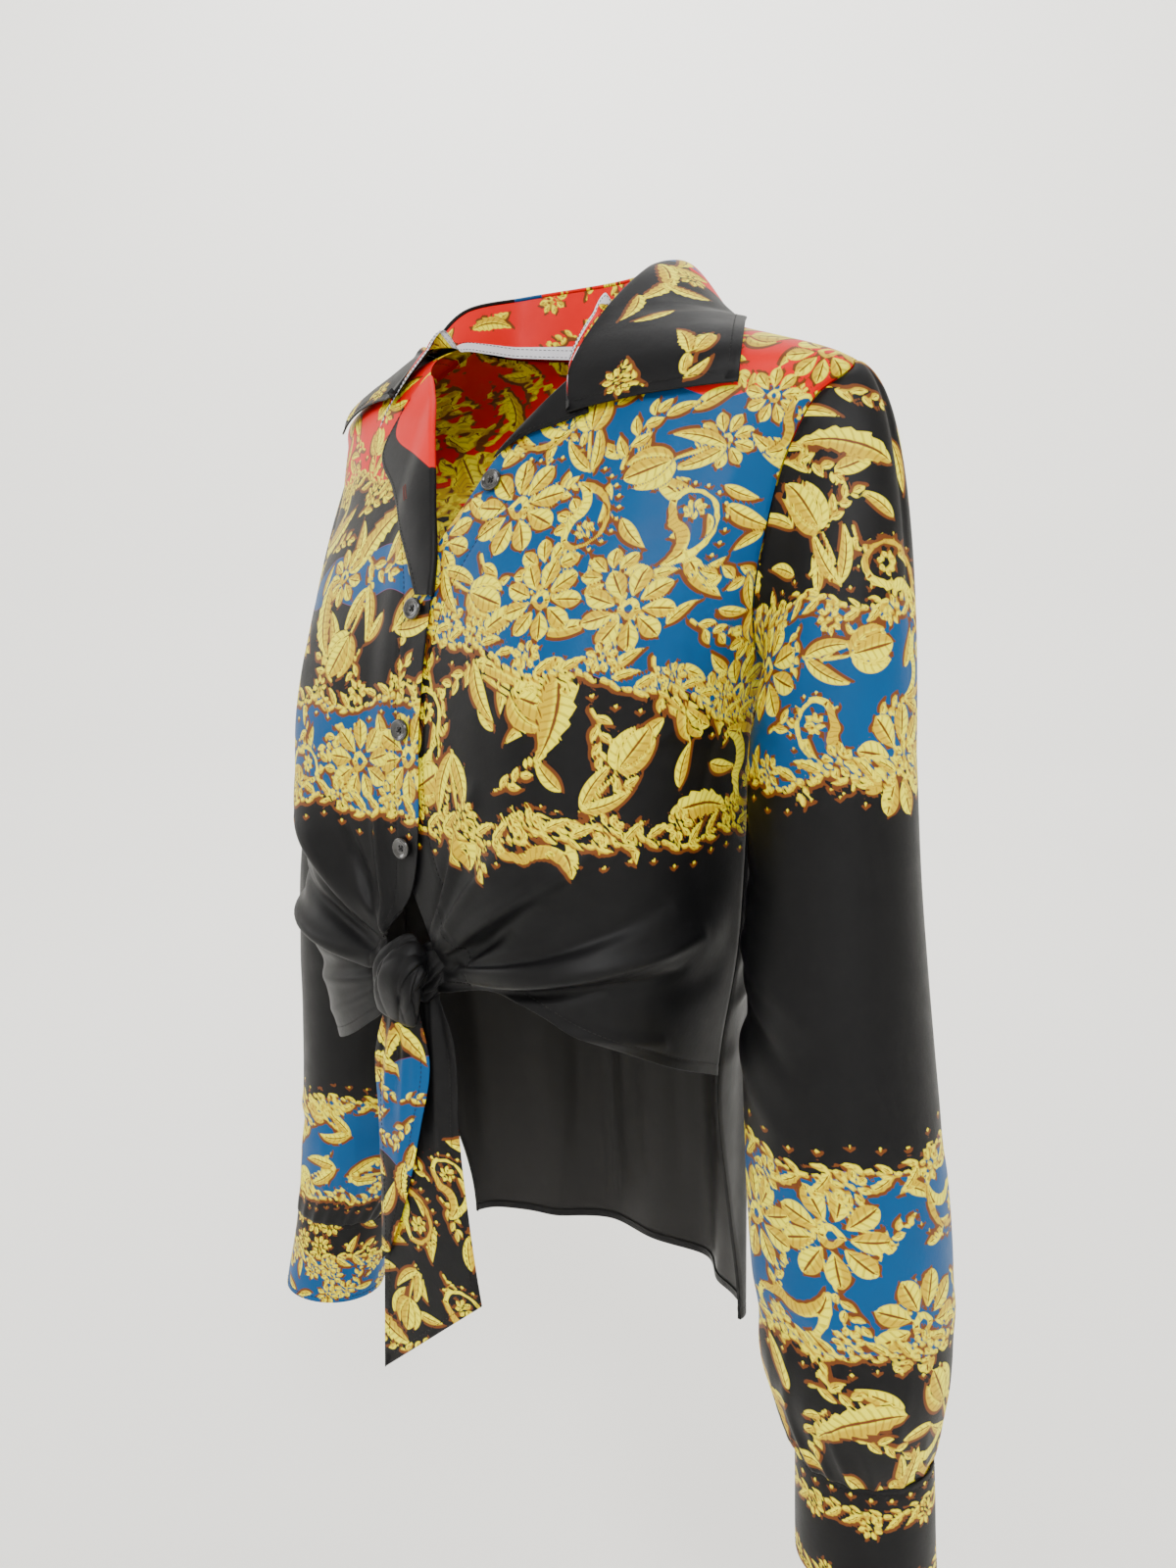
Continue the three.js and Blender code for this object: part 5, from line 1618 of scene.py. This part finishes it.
def print_stand(across, down):
    """Inside of the collar: red with gold leaves over a white strip."""
    work = Print(across, down, 33)
    end = np.abs(across).max()
    for hand in (-1, 1):
        for share, depth, size, lean in ((0.36, 6, 30, 35), (0.5, 14, 32, 200), (0.58, 4, 30, 25),
                                         (0.72, 12, 28, 190), (0.84, 5, 22, 30)):
            work.fern(hand * share * end, depth, 90 - hand * (90 - lean), size, -50 * hand)
    work.fill(lambda x, y: 0.26 * end - abs(x), 22, ("sprig", "daisy"), (15, 20))
    white = down - stand_tall(across / end) + STRIP_WIDE
    work.edge = np.minimum(work.edge, -white)
    return fields(across, down, work.gold(), (NOT_THERE, NOT_THERE, white))


def stand_tall(share):
    """Height of the collar's inner part, which runs out towards the front."""
    return STAND_TALL * (1 - 0.72 * ease((np.abs(share) - 0.3) / 0.7))


def materials():
    """The shared materials, made once."""
    if "printed cloth" not in bpy.data.materials:
        printed_cloth("printed cloth")
        thread_material("black thread", THREAD_BLACK)
        thread_material("brown thread", THREAD_BROWN)
        button_material("black button")
    return bpy.data.materials


def thread_material(name, colour):
    shader = Shader(name)
    wound = shader.noise(900.0)
    shader.set(Base_Color=shader.mix(shader.math("MULTIPLY", wound, 0.03), colour, REVERSE),
               Roughness=0.6, Specular_IOR_Level=0.2)
    shader.bump(wound, 0.3, 0.0002)


def button_material(name):
    """Glossy black, a little uneven."""
    shader = Shader(name)
    marks = shader.noise(260.0)
    shader.set(Base_Color=shader.mix(shader.math("MULTIPLY", marks, 0.05), BUTTON_BLACK, REVERSE),
               Roughness=shader.math("MULTIPLY_ADD", marks, 0.18, 0.08), Specular_IOR_Level=0.6,
               Coat_Weight=0.5)
    shader.surface.inputs["Coat Roughness"].default_value = COAT_ROUGH
    shader.bump(marks, 0.08, 0.0003)


def build_front(side, settings):
    left = side > 0
    name = "front_left" if left else "front_right"
    inner, hem, folds, lines = (
        (INNER_LEFT, HEM_LEFT, FOLDS_LEFT, CREASES_LEFT) if left
        else (INNER_RIGHT, HEM_RIGHT, FOLDS_RIGHT, CREASES_RIGHT))
    step = settings.spacing
    cloth = front_cloth(side, inner, hem, folds, *steps(FRONT_SIZE, step))
    from_edge = edge_distance(cloth, "start")
    from_hem = edge_distance(cloth, "bottom")
    from_side = edge_distance(cloth, "end")
    own = cloth.across
    height = settings.fold_height * creases(lines, own, cloth.down)
    keep = ease((own - 9) / 12) if left else np.where(height < 0, ease((own - 12) / 10), 1)
    near_knot = np.hypot(own - 14, cloth.down - KNOT_DROP)
    height = height * keep * ease((from_side + 1) / 14) * ease((near_knot - 8) / 14)
    height = height + dip(from_edge - PLACKET_WIDE, 0.35, 1.2) + dip(from_hem - HEM_WIDE, 0.3, 1.0)
    height = height + dip(from_side, 0.5, 1.6) + dip(edge_distance(cloth, "top"), 0.5, 1.6)
    cloth.raise_by(height)
    rows_of_thread = [cloth.inset("start", PLACKET_WIDE), cloth.inset("bottom", HEM_WIDE)]
    cloth.seam("end", "top")
    cloth.hem("start", depth=14)
    cloth.hem("bottom", depth=6)
    piece, sewn = finish_piece(cloth, name, print_of(name), rows_of_thread)


def build_back(settings):
    step = settings.spacing * BACK_FINE
    cloth = back_cloth(*steps(BACK_SIZE, step))
    from_hem = edge_distance(cloth, "bottom")
    sides = from_edges(cloth, "start", "end")
    height = settings.fold_height * creases(CREASES_BACK, cloth.across, cloth.down)
    height = height * ease((sides + 1) / 14) + dip(sides, 0.5, 1.6)
    height = height + dip(from_hem - HEM_WIDE, 0.3, 1.0)
    cloth.raise_by(height + dip(edge_distance(cloth, "top"), 0.5, 1.6))
    rows_of_thread = [cloth.inset("bottom", HEM_WIDE)]
    cloth.seam("start", "end", "top", depth=1.5)
    cloth.hem("bottom", depth=6)
    piece, sewn = finish_piece(cloth, "back", print_of("back"), rows_of_thread)


def build_lapel(side, settings):
    left = side > 0
    name = "lapel_left" if left else "lapel_right"
    inner, outer = (INNER_LEFT, LAPEL_LEFT_OUTER) if left else (INNER_RIGHT, LAPEL_RIGHT_OUTER)
    first, last = (0.17, 0.325) if left else (0.15, 0.53)
    step = settings.spacing
    u, v = grid(*steps(LAPEL_LEFT_SIZE if left else LAPEL_RIGHT_SIZE, step))
    angle, drop = lapel_place(inner, outer, first, last)(u, v)
    bulge = 1.6 * np.sin(np.pi * u) * np.sin(np.pi * v) * ease((v - 0.3) / 0.3)
    points = front_point(side, None, angle, drop, LAPEL_LIFT + SHELL_OUT + bulge)
    cloth = Cloth(points, 0 * u, -points[..., 2], (0, 0))
    cloth.across = edge_distance(cloth, "end")
    rows_of_thread = [cloth.inset("end", 1.8)]
    hole = buttonhole(cloth, 11, 0.52) if not left else []
    cloth.hem("end", depth=5)
    cloth.turn_edge("start", 3, 4.6)
    piece, sewn = finish_piece(cloth, name, print_plain if left else print_lapel,
                               rows_of_thread)
    if hole:
        sewn.append(stitch_pieces("buttonhole_stitches", hole, "brown thread", length=1.3,
                                  gap=0.05, thick=0.3))


def buttonhole(cloth, inset, share):
    """Short satin stitches round a slit that runs along the edge."""
    line, out = cloth.inset("end", inset)
    beside, _ = cloth.inset("end", inset + 1.0)
    start = int(share * len(line))
    run = np.cumsum(np.linalg.norm(np.diff(line[start:], axis=0), axis=1))
    stop = start + int(np.searchsorted(run, 13.0))
    found = []
    for k in range(start, min(stop, len(line) - 1)):
        way = unit(beside[k] - line[k])
        for hand in (-1, 1):
            a = line[k] + way * hand * 0.35
            b = line[k] + way * hand * 1.5
            found.append((np.array([a, (a + b) / 2, b + way * hand * 0.3]), np.array([out[k]] * 3)))
    return found


def build_stand(settings):
    step = settings.spacing
    u, v = grid(*steps(STAND_SIZE, step))
    points = stand_form(u, v)
    middle = points[points.shape[0] // 2][None]
    arc = run_length(middle, 1)
    cloth = Cloth(points, arc - arc.max() / 2, 0 * v, (0, 20))
    cloth.down = stand_tall(cloth.across / np.abs(cloth.across).max()) * v
    cloth.flip = not cloth.flip
    rows_of_thread = [cloth.inset("bottom", STRIP_WIDE - 1.2), cloth.inset("bottom", 1.4)]
    piece, sewn = finish_piece(cloth, "collar_stand", print_stand, rows_of_thread)


def build_fall(settings):
    step = settings.spacing
    u, v = grid(*steps(FALL_SIZE, step))
    points = fall_form(u, v)
    arc = run_length(points[points.shape[0] // 2][None], 1)
    cloth = Cloth(points, arc - arc.max() / 2, run_length(points, 0), (0, 10))
    cloth.raise_by(settings.fold_height * creases(CREASES_FALL, cloth.across, cloth.down))
    edges = from_edges(cloth, "start", "end", "bottom")
    cloth.raise_by(dip(edges - COLLAR_SEWN, 0.25, 0.9))
    rows_of_thread = []
    for side in ("bottom", "start", "end"):
        line, out = cloth.inset(side, COLLAR_SEWN)
        cut = max(1, round(COLLAR_SEWN / step))
        low = cut if side == "bottom" else round(8 / step)
        rows_of_thread.append((line[low:-cut], out[low:-cut]))
    cloth.hem("start", "end", "bottom", depth=6, thick=1.1)
    cloth.turn_edge("top", 2.0, 2.2, 2.6)
    piece, sewn = finish_piece(cloth, "collar_fall", print_fall, rows_of_thread)


def build_sleeve(side, settings):
    left = side > 0
    name = "sleeve_left" if left else "sleeve_right"
    table, lines = ((SLEEVE_LEFT, CREASES_SLEEVE_LEFT) if left
                    else (SLEEVE_RIGHT, CREASES_SLEEVE_RIGHT))
    step = settings.spacing * (SLEEVE_FINE if side > 0 else SLEEVE_FINE_FAR)
    cloth = sleeve_cloth(side, table, *steps(SLEEVE_SIZE, step))
    height = settings.fold_height * creases(lines, cloth.across, cloth.down)
    from_top = edge_distance(cloth, "top")
    height = height * ease((from_top + 1) / 16) * ease((604 - cloth.down) / 30)
    for across, high, wide, tall in GATHERS.values:
        up = (600 - cloth.down) / tall
        rise = np.exp(-np.clip(up, 0, 9) ** 1.5) * (1 - 0.35 * ease(1 - up * tall / 5))
        place = across * (1 if left else -1) + 3 * np.sin(cloth.down / 11)
        height = height + high * rise * np.exp(-(((cloth.across - place) / wide) ** 2))
    ends = from_edges(cloth, "start", "end")
    cloth.raise_by(height + dip(from_top, 0.4, 1.6) + dip(ends, 0.6, 1.5))
    low = cloth.points[-1:]
    middle = low.mean(axis=1, keepdims=True)
    tucked = [middle + (low - middle) * (1 - 0.045 * k) - np.array([0, 0, TUCK_STEP * k])
              for k in range(1, 4)]
    cloth.points = np.concatenate([cloth.points, *tucked], axis=0)
    cloth.across = np.concatenate([cloth.across] + [cloth.across[-1:]] * len(tucked))
    cloth.down = np.concatenate([cloth.down] + [cloth.down[-1:] + TUCK_STEP * k
                                                for k in range(1, len(tucked) + 1)])
    cloth.seam("top", depth=2)
    piece, _ = finish_piece(cloth, name, print_of(name))


def build_cuff(side, settings):
    left = side > 0
    name = "cuff_left" if left else "cuff_right"
    cuff = CUFF_LEFT if left else CUFF_RIGHT
    step = settings.spacing
    u, v = grid(*steps(CUFF_SIZE, step))
    lap = CUFF_LAP / (2 * math.pi * cuff[2])
    turn = CUFF_OPEN_TURN + u * (1 + lap)
    points = cuff_form(side, cuff)(turn % 1, v)
    axis = (cuff[0][0], cuff[0][1])
    cloth = Cloth(points, (u - 0.5) * CUFF_SIZE[0], CUFF_SIZE[1] * v, axis)
    over = 2.0 * ease((u - 1 + lap * 1.4) / (lap * 0.6)) + 1.0
    wave = 0.35 * np.sin(u * 21 + 1) * np.sin(v * 5) + 0.3 * np.sin(u * 9 + v * 3)
    edges = from_edges(cloth, "top", "bottom")
    cloth.raise_by(over + wave + dip(edges - CUFF_SEWN, 0.25, 0.9))
    rows_of_thread = [cloth.inset(side, CUFF_SEWN) for side in ("top", "bottom", "end")]
    cloth.hem("bottom", depth=12, thick=1.5)
    cloth.hem("top", depth=5, thick=1.5)
    cloth.hem("end", depth=4, thick=1.1)
    piece, sewn = finish_piece(cloth, name, print_of(name), rows_of_thread)


def build_tail(front, settings):
    name = "tail_front" if front else "tail_back"
    table, slant, lines = ((TAIL_FRONT, 3, CREASES_TAIL_FRONT) if front
                           else (TAIL_BACK, 29, CREASES_TAIL_BACK))
    step = settings.spacing
    u, v = grid(*steps(TAIL_SIZE, step))
    v = v * 1.05 - 0.05
    points = tail_form(table, slant)(u, v)
    half = table.at(-points[..., 2])["half"]
    cloth = Cloth(points, (2 * u - 1) * half, -points[..., 2], (0, 0))
    cloth.raise_by(settings.fold_height * creases(lines, cloth.across, cloth.down))
    rows_of_thread = []
    for side, sewn_at, skip in (("start", TAIL_SEWN, 30), ("end", TAIL_SEWN, 30), ("bottom", 5, 6)):
        line, out = cloth.inset(side, sewn_at)
        rows_of_thread.append((line[skip:-6], out[skip:-6]))
    cloth.hem("start", "end", depth=TAIL_SEWN)
    cloth.hem("bottom", depth=5)
    piece, sewn = finish_piece(cloth, name, print_of(name), rows_of_thread)


def flat_round(part):
    """Rounds an oval section towards a flat band."""
    return np.sign(part) * np.abs(part) ** 0.8


def build_knot(table, name, settings):
    """Bunched cloth along a path: an oval section with deep, uneven folds."""
    count, around = KNOT_GRID
    share = np.linspace(0, 1, count + 1)
    row = table.at(share)
    middle = stack(row["x"], row["y"], row["z"])
    along = unit(np.gradient(middle, axis=0))
    ahead = np.array([0.0, -1.0, 0.0])
    sideways = unit(np.cross(along, ahead))
    outward = unit(np.cross(sideways, along))
    turn = 2 * np.pi * np.arange(around + 1) / around
    pleats = 1
    for number, twist, deep in ((4, 0.8, 0.22), (7, -1.2, 0.1), (3, 1.6, 0.12)):
        wave = np.abs(np.sin(0.5 * number * turn[None, :] + twist * share[:, None] * 2.2 + number))
        pleats = pleats - deep * settings.fold_height * (1 - wave) ** 2.2
    ends = np.sin(np.pi * np.clip(share * 7, 0, 0.5)) * np.sin(np.pi * np.clip((1 - share) * 7, 0, 0.5))
    size = pleats * (0.55 + 0.45 * ends)[:, None]
    points = (middle[:, None]
              + sideways[:, None] * (flat_round(np.cos(turn)) * row["wide"][:, None] * size)[..., None]
              + outward[:, None] * (flat_round(np.sin(turn)) * row["deep"][:, None] * size)[..., None])
    cloth = Cloth(points, turn * 9, share[:, None] * 60, (0, 0))
    centre = points.mean(axis=1, keepdims=True)
    cloth.flip = False
    cloth.flip = float((cloth.out() * (points - centre)).sum()) < 0
    piece, _ = finish_piece(cloth, name, print_plain)


def build_button(name, place, outward):
    """Four-hole button with a dished middle and a rounded rim, sewn on with crossed thread."""
    radii = np.concatenate([np.arange(0.02, 3.2, 0.15), np.linspace(3.3, 6.0, 20), [5.9, 5.5, 0.1]])
    count = BUTTON_AROUND
    turn = 2 * np.pi * np.arange(count) / count
    x = radii[:, None] * np.cos(turn)
    y = radii[:, None] * np.sin(turn)
    high = BUTTON_PROFILE.at(radii)["high"][:, None] + 0 * x
    high[-3:] = np.array([0.5, 0.1, 0.1])[:, None]
    for hx, hy in ((1, 1), (1, -1), (-1, 1), (-1, -1)):
        away = np.hypot(x - hx * HOLE_OUT, y - hy * HOLE_OUT)
        sunk = np.clip((HOLE_RADIUS - away) / 0.15, 0, 1)
        sunk[-3:] = 0
        high = high - 1.2 * sunk
    outward = unit(np.asarray(outward, float))
    sideways = unit(np.cross(outward, [0.0, 0.0, 1.0]))
    upward = np.cross(sideways, outward)
    points = (place + x[..., None] * sideways + y[..., None] * upward + high[..., None] * outward)
    quads = ring_faces(len(radii), count)
    facing = np.cross(points[0, 1] - points[0, 0], points[1, 0] - points[0, 0])
    if float(facing @ outward) > 0:
        quads = quads[:, ::-1]
    piece = make_mesh(name, points.reshape(-1, 3), quads, materials()["black button"])
    place_piece(piece, name)
    lines = []
    at = HOLE_OUT + 0.2
    for a, b in (((-at, -at), (at, at)), ((-at, at), (at, -at))):
        ends = [place + p[0] * sideways + p[1] * upward + outward * 1.45 for p in (a, b)]
        lines.append((np.array([ends[0], ends[1]]), np.array([outward] * 2)))
    length = float(np.linalg.norm(lines[0][0][1] - lines[0][0][0])) - 0.12
    stitch_pieces(name + "_thread", lines, length=length, gap=0.05, thick=0.32, lift=0.2)


def build_buttons():
    for name, side, out, drop in FRONT_BUTTONS:
        folds = FOLDS_LEFT if side > 0 else FOLDS_RIGHT
        angle = angle_out(out, drop)
        here = front_point(side, folds, angle, np.array(drop, float), BUTTON_CLEAR)
        further = front_point(side, folds, angle, np.array(drop, float), BUTTON_CLEAR + 1)
        build_button(name, here, further - here)
    for name, side, cuff in (("cuff_button_left", 1, CUFF_LEFT), ("cuff_button_right", -1, CUFF_RIGHT)):
        form = cuff_form(side, cuff)
        here = form(np.array(CUFF_BUTTON_TURN), np.array(0.5))
        facing = form(np.array(CUFF_BUTTON_TURN + 0.5), np.array(0.5))
        outward = (here - facing) * np.array([1, 1, 0])
        build_button(name, here + unit(outward) * CUFF_BUTTON_CLEAR, outward)


def build_stage():
    """Pale floor that rises into a round wall, soft lights and the photo's camera."""
    scene = bpy.context.scene
    low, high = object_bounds()
    middle = (low + high) / 2
    paint = Shader("pale wall")
    paint.set(Base_Color=linear(*WALL_COLOUR), Roughness=0.9)
    count = WALL_AROUND
    turn = 2 * np.pi * np.arange(count) / count
    points = []
    for radius, height in WALL_PROFILE:
        points.append(stack(middle.x + radius * np.cos(turn), middle.y + radius * np.sin(turn),
                            low.z - FLOOR_BELOW + height))
    points = np.concatenate(points) / MM
    quads = ring_faces(len(WALL_PROFILE), count)
    wall = make_mesh("stage_wall", points, quads, paint.material)
    wall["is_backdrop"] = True
    world = bpy.data.worlds.new("soft light")
    scene.world = world
    world.use_nodes = True
    background = world.node_tree.nodes["Background"]
    background.inputs["Color"].default_value = WORLD_COLOUR
    background.inputs["Strength"].default_value = WORLD_STRENGTH
    for name, place, size, power in LIGHTS:
        light = bpy.data.lights.new(name, "AREA")
        light.size = size
        light.energy = power
        lamp = bpy.data.objects.new(name, light)
        lamp.location = place
        target = WALL_LIT if name.startswith("wall") else middle
        aim = target - Vector(place)
        lamp.rotation_euler = aim.to_track_quat("-Z", "Y").to_euler()
        scene.collection.objects.link(lamp)
    lens = bpy.data.cameras.new("camera")
    lens.lens = CAMERA_LENS
    lens.sensor_width = CAMERA_SENSOR
    lens.clip_start, lens.clip_end = CAMERA_CLIP
    camera = bpy.data.objects.new("camera", lens)
    ahead = CAMERA_AHEAD.normalized()
    right = (CAMERA_RIGHT - ahead * CAMERA_RIGHT.dot(ahead)).normalized()
    turned = Matrix((right, right.cross(ahead), -ahead)).transposed()
    camera.matrix_world = Matrix.Translation(CAMERA_PLACE) @ turned.to_4x4()
    scene.collection.objects.link(camera)
    scene.camera = camera


class ShirtSettings(bpy.types.PropertyGroup):
    spacing: bpy.props.FloatProperty(
        name="Spacing",
        description="Distance between the points of the finest cloth, in millimetres",
        default=1.2,
        min=0.7,
        max=6,
    )
    fold_height: bpy.props.FloatProperty(
        name="Fold height",
        description="How high the creases stand, as a share of their full height",
        default=1.0,
        min=0,
        max=1.5,
        subtype="FACTOR",
    )


class ShirtOperator:
    """What all steps share: they build something from the settings."""

    bl_options = {"REGISTER", "UNDO"}

    def execute(self, context):
        self.build(context.scene.shirt)
        return {"FINISHED"}


class SHIRT_OT_back(ShirtOperator, bpy.types.Operator):
    """Add the back panel"""

    bl_idname = "shirt.back"
    bl_label = "Back"

    def build(self, settings):
        build_back(settings)


class SHIRT_OT_fronts(ShirtOperator, bpy.types.Operator):
    """Add the two fronts"""

    bl_idname = "shirt.fronts"
    bl_label = "Fronts"

    def build(self, settings):
        build_front(1, settings)
        build_front(-1, settings)


class SHIRT_OT_lapels(ShirtOperator, bpy.types.Operator):
    """Add the turned-out corners of the fronts"""

    bl_idname = "shirt.lapels"
    bl_label = "Turned-out corners"

    def build(self, settings):
        build_lapel(1, settings)
        build_lapel(-1, settings)


class SHIRT_OT_collar(ShirtOperator, bpy.types.Operator):
    """Add the inner and the folded part of the collar"""

    bl_idname = "shirt.collar"
    bl_label = "Collar"

    def build(self, settings):
        build_stand(settings)
        build_fall(settings)


class SHIRT_OT_sleeves(ShirtOperator, bpy.types.Operator):
    """Add the sleeves and their cuffs"""

    bl_idname = "shirt.sleeves"
    bl_label = "Sleeves and cuffs"

    def build(self, settings):
        for side in (1, -1):
            build_sleeve(side, settings)
            build_cuff(side, settings)


class SHIRT_OT_knot(ShirtOperator, bpy.types.Operator):
    """Add the knot and its two free ends"""

    bl_idname = "shirt.knot"
    bl_label = "Knot and ends"

    def build(self, settings):
        build_knot(KNOT_WRAP, "knot_wrap", settings)
        build_knot(KNOT_CORE, "knot_core", settings)
        build_tail(True, settings)
        build_tail(False, settings)


class SHIRT_OT_buttons(ShirtOperator, bpy.types.Operator):
    """Add the buttons of the front and the cuffs"""

    bl_idname = "shirt.buttons"
    bl_label = "Buttons"

    def build(self, settings):
        build_buttons()


class SHIRT_OT_stage(ShirtOperator, bpy.types.Operator):
    """Add the wall, the lights and the camera"""

    bl_idname = "shirt.stage"
    bl_label = "Stage"

    def build(self, settings):
        build_stage()


class SHIRT_PT_panel(bpy.types.Panel):
    """Settings and steps of the shirt"""

    bl_label = "Shirt"
    bl_space_type = "VIEW_3D"
    bl_region_type = "UI"
    bl_category = "Shirt"

    def draw(self, context):
        layout = self.layout
        layout.prop(context.scene.shirt, "spacing")
        layout.prop(context.scene.shirt, "fold_height")
        for step in STEPS:
            layout.operator(step.bl_idname)


STEPS = (SHIRT_OT_back, SHIRT_OT_fronts, SHIRT_OT_lapels, SHIRT_OT_collar, SHIRT_OT_sleeves,
         SHIRT_OT_knot, SHIRT_OT_buttons, SHIRT_OT_stage)
CLASSES = (ShirtSettings, *STEPS, SHIRT_PT_panel)


def register():
    for item in CLASSES:
        bpy.utils.register_class(item)
    bpy.types.Scene.shirt = bpy.props.PointerProperty(type=ShirtSettings)


def unregister():
    del bpy.types.Scene.shirt
    for item in reversed(CLASSES):
        bpy.utils.unregister_class(item)


def main():
    register()
    bpy.ops.shirt.back()
    bpy.ops.shirt.fronts()
    bpy.ops.shirt.lapels()
    bpy.ops.shirt.collar()
    bpy.ops.shirt.sleeves()
    bpy.ops.shirt.knot()
    bpy.ops.shirt.buttons()
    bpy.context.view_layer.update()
    bpy.ops.shirt.stage()


if __name__ == "__main__":
    main()
